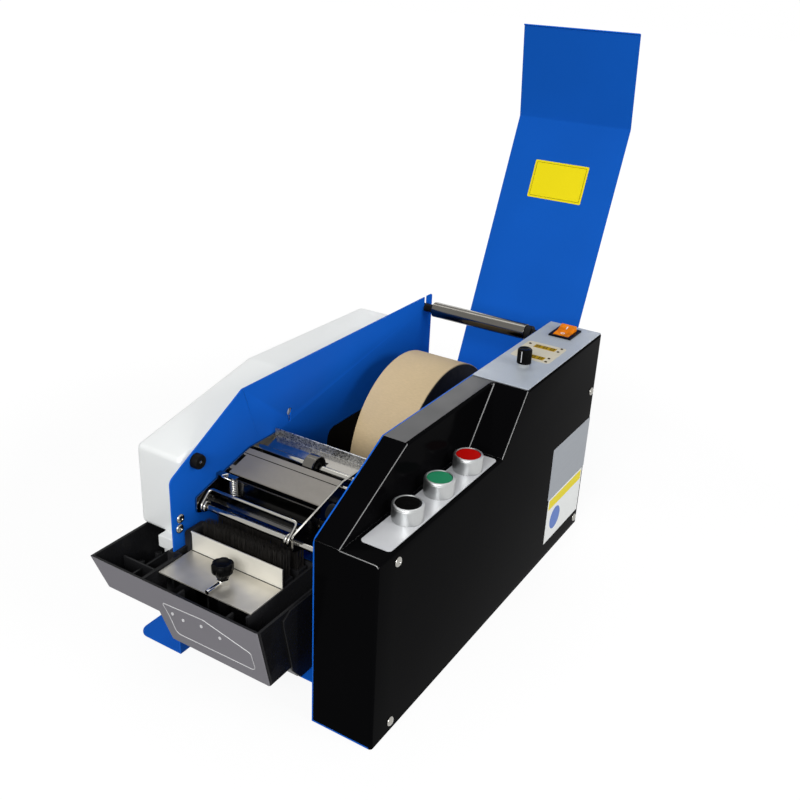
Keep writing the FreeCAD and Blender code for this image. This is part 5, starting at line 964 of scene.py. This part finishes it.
class DISPENSER_OT_feed_unit(Maker, bpy.types.Operator):
    """Cheeks, guide plates, shafts and wheels of the feed unit"""
    bl_idname = "dispenser.feed_unit"
    bl_label = "Feed unit"

    def make(self):
        for node in ("feed_cheek_left", "feed_cheek_right"):
            # blackened faces, bright cut edges
            dressed(node, ("dark_steel", "chrome"), width=0.3, pick=lambda face: abs(face.normal.x) <= 0.5)
        dressed("feed_bed", "dark_steel", width=0.2)
        # polished, only the folded back edge keeps its zinc
        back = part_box("rear_guide_plate")[1].y - 2.5 * MM
        dressed("rear_guide_plate", ("mirror_steel", "zinc"), width=0.3, name="rear_guide_dressed",
                pick=lambda face: face.calc_center_median().y > back)
        self.top_plate()
        # the dark lip in front of the blade carries the paper on to the brush
        lip = [(65.6, 149.0), (65.6, 150.4), (55.5, 150.4), (52.5, 147.6), (53.2, 146.9), (56.0, 149.0)]
        plate("lip_plate", "dark_steel", "YZ", rounded(lip, 0.3, 2), 4.4, 113.1)
        self.bolts()
        self.wheel()
        for node, look, body, width in (
                ("tie_rod", "chrome", "frame", 0.5), ("pressure_shaft", "chrome", "frame", 0.5),
                ("front_rod", "chrome", "frame", 0.5),
                ("feed_shaft", "steel", "feed", 0.5), ("feed_wheel", "rubber", "feed", 0.6),
                ("drive_gear", "steel", "feed", 0.2), ("motor_pinion", "steel", "pinion", 0.2)):
            dressed(node, look, body, width)

    def top_plate(self):
        """Sloped sheet, folded down softly at its right, with a seam and a strip towards its back."""
        low, high = span("top_plate")
        slope = 9.25 / 34.7
        dressed("top_plate", "grey_paint", width=0.5, steps=3)

        def line(along, lift):
            return along, high.z - (high.y - along) * slope + lift * math.hypot(1, slope)

        for name, look, start, end, lift in (
                ("top_plate_seam", "black_gloss", low.y + 26.6, low.y + 27.5, 0.06),
                ("top_plate_strip", "grey_paint", low.y + 27.5, high.y - 0.6, 0.10)):
            plate(name, look, "YZ", [line(start, -0.5), line(end, -0.5), line(end, lift), line(start, lift)],
                  low.x + 0.6, high.x - 0.6)

    def bolts(self):
        """Hexagon heads on the cheeks' outer and inner faces."""
        shape = bmesh.new()
        for x, y, z, sign in ((4.0, 74.0, 166.5, 1), (113.4, 62.0, 160.0, -1), (4.0, 110.0, 171.5, 1)):
            head = [(0, 0), (2.6, 0), (2.6, 1.3 * sign), (2.2, 1.7 * sign), (0, 1.7 * sign)]
            turned(shape, head, at(x, y, z), "X", 6)
        piece("cheek_bolts", shape, "zinc", smooth=20)

    def wheel(self):
        """Pressure wheel: bright tread and rims, dark hollow sides."""
        centre, reach, half = lying("pressure_wheel")
        side = [(4.05, half - 0.6), (5.8, half - 0.6), (6.0, half - 3), (10.0, half - 3), (10.2, half),
                (reach - 0.6, half), (reach, half - 0.6)]
        shape = bmesh.new()
        turned(shape, [(radius, -height) for radius, height in side] + side[::-1], centre, "X", 72)
        for face in shape.faces:
            away = (face.calc_center_median() - centre).yz.length / MM
            face.material_index = 1 if 4.5 < away < reach - 1.2 else 0
        piece("pressure_tyre", shape, ("roller_steel", "rubber"), "pressure", ("pressure_wheel",), smooth=25)


class DISPENSER_OT_bail(Maker, bpy.types.Operator):
    """Wire bail that lies over the paper behind the front rod"""
    bl_idname = "dispenser.bail"
    bl_label = "Hold-down bail"

    def make(self):
        low, high = span("hold_down_bail")
        radius, bend = 1.5, 4.0
        self.rod = middle("front_rod")
        self.curl = 3.05 + radius
        self.lean = math.atan2(10.4, 12.0)
        left, right, reach = low.x + radius, high.x - radius, math.hypot(10.4, 12.0)
        ends = [(0, up) for up in (2.0, 5.0, reach - bend - 1.0)]
        ends += [(bend * (1 - math.cos(turn)), reach - bend + bend * math.sin(turn))
                 for turn in (math.radians(15 * step) for step in range(7))]
        path = self.coil(left, 1) + [self.arm(left + across, up) for across, up in ends]
        path += [self.arm(left + bend + (right - left - 2 * bend) * part / 8, reach) for part in range(1, 8)]
        path += [self.arm(right - across, up) for across, up in reversed(ends)] + self.coil(right, -1)[::-1]
        shape = bmesh.new()
        wire(shape, path, radius, 14)
        piece("bail_wire", shape, "chrome", "bail", ("hold_down_bail",), smooth=60)

    def coil(self, x, inwards, turns=1.2, steps=40):
        """The wire's end, curled round the rod from its inner side out to x."""
        spots = []
        for step in range(steps + 1):
            left = turns * (1 - step / steps)
            angle = self.lean + math.pi / 2 + 2 * math.pi * left
            spots.append(at(x + inwards * 3.3 * left, self.rod.y + self.curl * math.cos(angle),
                            self.rod.z + self.curl * math.sin(angle)))
        return spots

    def arm(self, x, up):
        """A place up along the bail's arms."""
        along, across = math.cos(self.lean), math.sin(self.lean)
        return at(x, self.rod.y + along * up - across * self.curl,
                  self.rod.z + across * up + along * self.curl)


class DISPENSER_OT_cutter(Maker, bpy.types.Operator):
    """Blade, solenoid and return spring"""
    bl_idname = "dispenser.cutter"
    bl_label = "Cutter"

    def make(self):
        dressed("moving_blade", "dark_steel", "cutter", width=0.25)
        dressed("solenoid_plunger", "steel", "cutter", width=0.5)
        dressed("cutter_solenoid", "black_plastic", width=0.6)
        # the spring's wire gets painted shade between its turns
        repaint("cutter_spring", "spring_steel")
        self.hook()

    def hook(self):
        """The spring's upper end: the wire comes out in front of the tab, bends left and lies on the tab."""
        spot = middle("cutter_spring")
        spot.z = span("cutter_spring")[1].z
        shape = bmesh.new()
        wire(shape, [at(*(spot + Vector(bend))) for bend in (
            (0.6, -3.2, -1.6), (0.4, -3.9, -0.6), (-0.6, -4.8, 0.6), (-2.5, -5.6, 1.4), (-5.0, -6.2, 1.9),
            (-7.5, -6.5, 2.2), (-9.0, -6.1, 2.4), (-9.6, -5.0, 2.5), (-9.3, -3.4, 2.5), (-8.4, -1.5, 2.45),
            (-7.0, 0.6, 2.4))], 0.65, 10)
        piece("spring_hook", shape, "nickel", smooth=60)


class DISPENSER_OT_tape(Maker, bpy.types.Operator):
    """Paper roll with its core, side disc, guides and support rollers"""
    bl_idname = "dispenser.tape"
    bl_label = "Tape roll"

    def make(self):
        for node in ("roll_guide_left", "roll_guide_right"):
            dressed(node, "black_paint")
        for place in ("front", "rear"):
            dressed(place + "_basket_roller", "steel", place + "_roller", width=0.6)
        self.roll()
        dressed("tape_core", "card", "tape", width=0.2)
        dressed("roll_side_disc", "black_plastic", "tape", width=0.3)

    def roll(self):
        """The wound paper: kraft outside, wound edges with a few deeper rings on its sides."""
        centre, reach, half = lying("tape_roll")
        core = lying("tape_core")[1]
        rings = range(1, 12)
        radii = [core + 0.02 + (reach - 0.35 - core) * ring / 12 for ring in rings]
        profile = [(core + 0.02, half), (core + 0.02, -half)]
        profile += [(radius, -half + (0.0 if ring % 3 else 0.12)) for ring, radius in zip(rings, radii)]
        profile += [(reach - 0.3, -half), (reach, -half + 0.3), (reach, half - 0.3), (reach - 0.3, half)]
        profile += [(radius, half) for radius in reversed(radii)]
        shape = bmesh.new()
        turned(shape, profile, centre, "X", 180)
        for face in shape.faces:
            face.normal_update()
            face.material_index = 1 if abs(face.normal.x) > 0.9 else 0
        piece("paper_roll", shape, ("kraft_paper", "wound_paper"), "tape", ("tape_roll",), smooth=30)


class DISPENSER_OT_guide_roller(Maker, bpy.types.Operator):
    """Steel guide roller across the back of the frame, and its plastic bushes"""
    bl_idname = "dispenser.guide_roller"
    bl_label = "Guide roller"

    def make(self):
        dressed("guide_roller_tube", "roller_steel", "guide_roller", width=0.6, steps=3)
        dressed("guide_roller_bushes", "black_plastic", width=0.6)


class DISPENSER_OT_tank(Maker, bpy.types.Operator):
    """Moulded water tank"""
    bl_idname = "dispenser.tank"
    bl_label = "Water tank"

    def make(self):
        # the outer face of the front wall takes the lighter grey as painted light from the front
        dressed("water_tank", ("black_gloss_plastic", "tank_face_plastic"), width=details().mould_edge / MM,
                steps=3, name="tank_body", pick=self.is_front)
        # the rear part of the right wall stands out a little from the front part
        step = rounded([(-17.0, 107.5), (-4.5, 51.5), (6.5, 37.6), (59.4, 37.6), (59.4, 119.4), (-8.0, 119.4),
                        (-17.0, 114.0)], 1.5, 3)
        soften(plate("tank_side_step", "black_gloss_plastic", "YZ", step, 139.4, 141.6), 0.7, 3)
        self.front_frame()
        self.ribs()

    def front(self, z):
        """Where the front wall's leaning outer face is at a height."""
        top, foot, face_at_top, lean = 120.0, 54.0, -48.6, 15.6
        return face_at_top + (top - z) * lean / (top - foot)

    def is_front(self, face):
        """Whether a face is on the outer side of the front wall."""
        spot = (face.calc_center_median() - ZERO) / MM
        return face.normal.y < -0.8 and spot.y < -33 and spot.y <= self.front(spot.z) + 1.0

    def front_frame(self):
        """Plain raised outline on the front face, with four dots inside it."""
        shape = bmesh.new()
        loop = rounded([(28, 101), (32.5, 87), (36, 66), (126.6, 67.5), (125.4, 89), (76, 104)],
                       [2, 2, 5, 5, 3, 2])
        outline = [at(x, self.front(z) - 0.12, z) for x, z in loop]
        wire(shape, outline + outline[:2], 0.42, 6)
        dot = [(0, -0.5), (1.6, -0.5), (1.6, 0.35), (0, 0.35)]
        for x, z in ((38, 92), (50, 90), (72, 94), (92, 90)):
            turned(shape, dot, at(x, self.front(z) - 0.12, z), "Y", 12)
        piece("tank_outline", shape, "light_paint", smooth=60)

    def ribs(self):
        """Cross rib and screw bosses in the shallow arm, and a lip along the divider."""
        shape = bmesh.new()
        slab(shape, "XZ", rectangle(-44, 87, 6, 108), -20, -18)
        slab(shape, "YZ", rectangle(-34, 87, 18, 104), -22, -20)
        for x, y in ((-34, -8), (-32, 12)):
            turned(shape, [(0, 0), (3.4, 0), (3.4, 12), (2.2, 12.6), (0, 12.6)], at(x, y, 87), steps=20)
        soften(piece("tank_ribs", shape, "black_gloss_plastic"), 0.3)


class DISPENSER_OT_press_plate(Maker, bpy.types.Operator):
    """Angled steel plate over the tank, its knob and nut"""
    bl_idname = "dispenser.press_plate"
    bl_label = "Press plate"

    def make(self):
        # the flange faces the front and takes the brighter finish as painted light
        dressed("press_plate", ("steel_plate", "bright_plate"), width=0.35,
                pick=lambda face: face.normal.y < -0.7 and face.calc_area() > 0.0004)
        low, high = span("press_plate")
        # a thin dark strip along the fold between the flange and the top
        plate("press_plate_seam", "black_gloss", "YZ", rectangle(high.y - 2.6, 117.7, high.y - 1.55, 118.12),
              low.x + 0.3, high.x - 0.3)
        dressed("tray_knob_nut", "nickel", width=0.5)
        self.knob()

    def knob(self):
        """Lobed grip that flares upwards, hollow on top."""
        centre, reach, foot, top = upright("tray_knob")
        base = top - 15.0
        lobes = 6

        def lobe(angle, radius, height):
            return 1.0 if radius < reach - 2.5 else 1.0 - 0.10 * (0.5 - 0.5 * math.cos(lobes * angle)) ** 3

        shape = bmesh.new()
        turned(shape, [(2.45, base), (5.5, base), (6.2, base + 1.5), (7.6, base + 4.5),
                       (reach - 0.5, base + 6), (reach, base + 7), (reach, top - 1.6),
                       (reach - 0.5, top - 0.7), (reach - 1.6, top), (reach - 4, top), (4.5, top - 0.6),
                       (0, top - 0.6), (0, foot), (2.45, foot)],
               centre, steps=120, wave=lobe)
        piece("tank_knob_grip", shape, "black_gloss", "tank_knob", ("tray_knob",), smooth=35)


class DISPENSER_OT_brushes(Maker, bpy.types.Operator):
    """Two bristle brushes in the tank"""
    bl_idname = "dispenser.brushes"
    bl_label = "Brushes"

    def make(self):
        low, high = span("brushes")
        block, depth, pitch = 18.0, 12.0, 20.0
        blocks = bmesh.new()
        for front in (low.y, low.y + pitch):
            slab(blocks, "XZ", rectangle(low.x, low.z, high.x, low.z + block), front, front + depth)
        # a black block at the left end of the front brush: partly the brush's holder, partly painted shade on
        # the left plate
        slab(blocks, "XZ", rounded(rectangle(2.2, 101, 12, 138), [0.5, 0.5, 3, 6]), 13.5, 33.5)
        soften(piece("brush_blocks", blocks, "black_plastic", "frame", ("brushes",)), 0.8)
        root = low.z + block - 0.5
        hairs = self.bristles(at(middle("brushes").x, low.y + depth / 2, root), high.x - low.x - 6, depth - 4,
                              high.z - root, pitch)
        settle("brush_bristles", hairs, "bristle_hair", smooth=80)

    def bristles(self, root, width, depth, length, pitch):
        """Two beds of hair in tufts. Each hair stands a little off its tuft's middle and leans a little."""
        tree = Tree("bristles")
        size = {name: tree.setting(name, "NodeSocketFloat", value * MM) for name, value in (
            ("Bed width", width), ("Bed depth", depth), ("Hair length", length), ("Bed pitch", pitch),
            ("Hair root", 0.16), ("Hair tip", 0.09))}
        count = {name: tree.setting(name, "NodeSocketInt", value) for name, value in (
            ("Tufts", details().bristle_tufts), ("Rows", details().bristle_rows),
            ("Hairs", details().bristle_hairs), ("Seed", 7))}
        off, lean = Vector((1.1, 1.0, 0)) * MM, Vector((0.035, 0.035, 0))
        bed = tree.add("GeometryNodeMeshGrid", {
            "Size X": size["Bed width"], "Size Y": size["Bed depth"],
            "Vertices X": count["Tufts"], "Vertices Y": count["Rows"]})
        roots = tree.add("GeometryNodeDuplicateElements", {
            "Geometry": bed.outputs["Mesh"], "Amount": count["Hairs"]}, domain="POINT")
        spots = tree.add("GeometryNodeSetPosition", {
            "Geometry": roots.outputs["Geometry"], "Offset": tree.chance(count["Seed"], -off, off)})
        hair = tree.add("GeometryNodeMeshCone", {
            "Vertices": 3, "Radius Top": size["Hair tip"], "Radius Bottom": size["Hair root"],
            "Depth": size["Hair length"]})
        stand = tree.add("GeometryNodeInstanceOnPoints", {
            "Points": spots.outputs["Geometry"], "Instance": hair.outputs["Mesh"],
            "Rotation": tree.chance(count["Seed"], -lean, lean + Vector((0, 0, 6.28))),
            "Scale": tree.chance(count["Seed"], (1, 1, 0.94), (1, 1, 0.995))})
        front = tree.add("GeometryNodeTransform", {
            "Geometry": stand.outputs["Instances"], "Translation": root})
        step = tree.add("ShaderNodeCombineXYZ", {"Y": size["Bed pitch"]})
        rear = tree.add("GeometryNodeTransform", {
            "Geometry": front.outputs["Geometry"], "Translation": step.outputs["Vector"]})
        both = tree.add("GeometryNodeJoinGeometry")
        for half in (front, rear):
            feed(both.inputs["Geometry"], half.outputs["Geometry"])
        return tree.run("brush_bristles", both.outputs["Geometry"], "bristle_hair")


class DISPENSER_OT_bottle(Maker, bpy.types.Operator):
    """Milky water bottle and its valve cap"""
    bl_idname = "dispenser.bottle"
    bl_label = "Water bottle"

    def make(self):
        dressed("water_bottle", "bottle_plastic", width=0.2, angle=50)
        dressed("bottle_cap", "bottle_plastic", width=0.5)
        block = rounded(rectangle(-28, 109, -2.2, 122), 1.5, 3)
        soften(plate("valve_block", "bottle_plastic", "XZ", block, 9.5, 46), 0.8)


class DISPENSER_OT_lid(Maker, bpy.types.Operator):
    """Hinged lid with its bare yellow sticker"""
    bl_idname = "dispenser.lid"
    bl_label = "Lid"

    def make(self):
        dressed("lid", "blue_paint", "lid_flap", angle=14)
        dressed("lid_pin", "steel", width=0.5)
        self.sticker()
        self.bumpers()

    def sticker(self):
        """A bare sticker on the inner face, square to the lid's long flat part."""
        shape = bmesh.new()
        shape.from_mesh(frame["nodes"]["lid"].data)
        inner = max((face for face in shape.faces if face.normal.y < -0.3),
                    key=lambda face: (round(face.calc_area(), 6), face.calc_center_median().z))
        normal = inner.normal.copy()
        bend = max((vertex.co.copy() for vertex in inner.verts), key=lambda spot: spot.z)
        shape.free()
        up = (Vector((0, 0, 1)) - normal * normal.z).normalized()

        def ring(box, radius, lift):
            """An outline on the lid, measured down from its bend."""
            places = []
            for x, below in rounded(rectangle(*box), radius):
                spot = bend + up * below * MM + normal * lift * MM
                spot.x = at(x, 0, 0).x
                places.append(spot)
            return places

        film, line = bmesh.new(), bmesh.new()
        skin(film, *(ring((43, -99, 116, -51), 1.5, lift) for lift in (0.02, 0.14)))
        piece("lid_sticker", film, "sticker", "lid_flap")
        loop = ring((45.6, -96.4, 113.4, -53.6), 1.0, 0.12)
        wire(line, loop + loop[:2], 0.22, 6)
        piece("lid_sticker_line", line, "black_gloss", "lid_flap", smooth=60)

    def bumpers(self):
        """Rubber stops on the side plates, each held by a screw in its hollow end."""
        low, high = span("lid_bumpers")
        spot = middle("lid_bumpers")
        reach, length = (high.z - low.z) / 2, 8.0
        stop = [(0, 0), (reach, 0), (reach, length - 2.2), (reach - 0.7, length - 0.7), (reach - 2.2, length),
                (2.6, length), (2.2, length - 1.6), (0, length - 1.6)]
        head = [(0, length - 1.7), (1.9, length - 1.7), (1.7, length - 0.9), (0.9, length - 0.5),
                (0, length - 0.4)]
        for name, look, profile, steps, nodes in (("bumpers", "rubber", stop, 48, ("lid_bumpers",)),
                                                  ("bumper_screws", "nickel", head, 24, ())):
            shape = bmesh.new()
            for x, sign in ((low.x, 1), (high.x, -1)):
                side = [(radius, height * sign) for radius, height in profile]
                turned(shape, side, at(x, spot.y, spot.z), "X", steps)
            piece(name, shape, look, "frame", nodes, smooth=30)


class DISPENSER_OT_fasteners(Maker, bpy.types.Operator):
    """Pan screws and the rubber feet"""
    bl_idname = "dispenser.fasteners"
    bl_label = "Screws and feet"

    def make(self):
        dressed("rubber_feet", "rubber", width=0.3)
        head, rise, shank, length = 4.6, 2.2, 2.0, 8.0
        part = bmesh.new()
        turned(part, [(0, rise - 0.9), (0.9, rise - 0.9), (1.3, rise - 0.05), (2.4, rise - 0.15),
                      (3.6, rise - 0.6), (head - 0.25, rise - 1.3), (head, rise - 1.8), (head, 0), (shank, 0),
                      (shank, -length), (0, -length)], Vector(), "X", 32)
        bmesh.ops.recalc_face_normals(part, faces=part.faces)
        screws = copies("screw_set", part, self.seats(rise), "chrome")
        settle("pan_screw_set", screws, "chrome", "frame", ("pan_screws",), smooth=30)

    def seats(self, rise):
        """The points under the heads, one for each separate screw of the CAD node."""
        shape = welded("pan_screws")
        left = set(shape.verts)
        seats = []
        while left:
            island = [left.pop()]
            for vertex in island:
                near = {edge.other_vert(vertex) for edge in vertex.link_edges} & left
                left -= near
                island += near
            low, high = [Vector(pick(vertex.co[axis] for vertex in island) for axis in range(3))
                         for pick in (min, max)]
            seats.append((high.x - rise * MM, (low.y + high.y) / 2, (low.z + high.z) / 2))
        shape.free()
        return sorted(seats)


class DISPENSER_PT_panel(bpy.types.Panel):
    """Buttons for each group of pieces"""
    bl_label = "Dispenser"
    bl_idname = "DISPENSER_PT_panel"
    bl_space_type = "VIEW_3D"
    bl_region_type = "UI"
    bl_category = "Dispenser"

    def draw(self, context):
        for maker in MAKERS:
            self.layout.operator(maker.bl_idname)
        for group in (finishes(), details(), studio()):
            for name in group.__annotations__:
                self.layout.prop(group, name)


MAKERS = (
    DISPENSER_OT_stage, DISPENSER_OT_frame_sheets, DISPENSER_OT_housing, DISPENSER_OT_buttons,
    DISPENSER_OT_knob, DISPENSER_OT_rocker, DISPENSER_OT_electrics, DISPENSER_OT_feed_unit, DISPENSER_OT_bail,
    DISPENSER_OT_cutter, DISPENSER_OT_tape, DISPENSER_OT_guide_roller, DISPENSER_OT_tank,
    DISPENSER_OT_press_plate, DISPENSER_OT_brushes, DISPENSER_OT_bottle, DISPENSER_OT_lid,
    DISPENSER_OT_fasteners)
SETTINGS = {
    "dispenser_finishes": DispenserFinishes,
    "dispenser_details": DispenserDetails,
    "dispenser_studio": DispenserStudio,
}


def register():
    for name, group in SETTINGS.items():
        bpy.utils.register_class(group)
        setattr(bpy.types.Scene, name, PointerProperty(type=group))
    for maker in MAKERS:
        bpy.utils.register_class(maker)
    bpy.utils.register_class(DISPENSER_PT_panel)


def unregister():
    bpy.utils.unregister_class(DISPENSER_PT_panel)
    for maker in reversed(MAKERS):
        bpy.utils.unregister_class(maker)
    for name, group in SETTINGS.items():
        delattr(bpy.types.Scene, name)
        bpy.utils.unregister_class(group)


def main():
    register()
    for maker in MAKERS:
        group, action = maker.bl_idname.split(".")
        getattr(getattr(bpy.ops, group), action)()


if __name__ == "__main__":
    main()
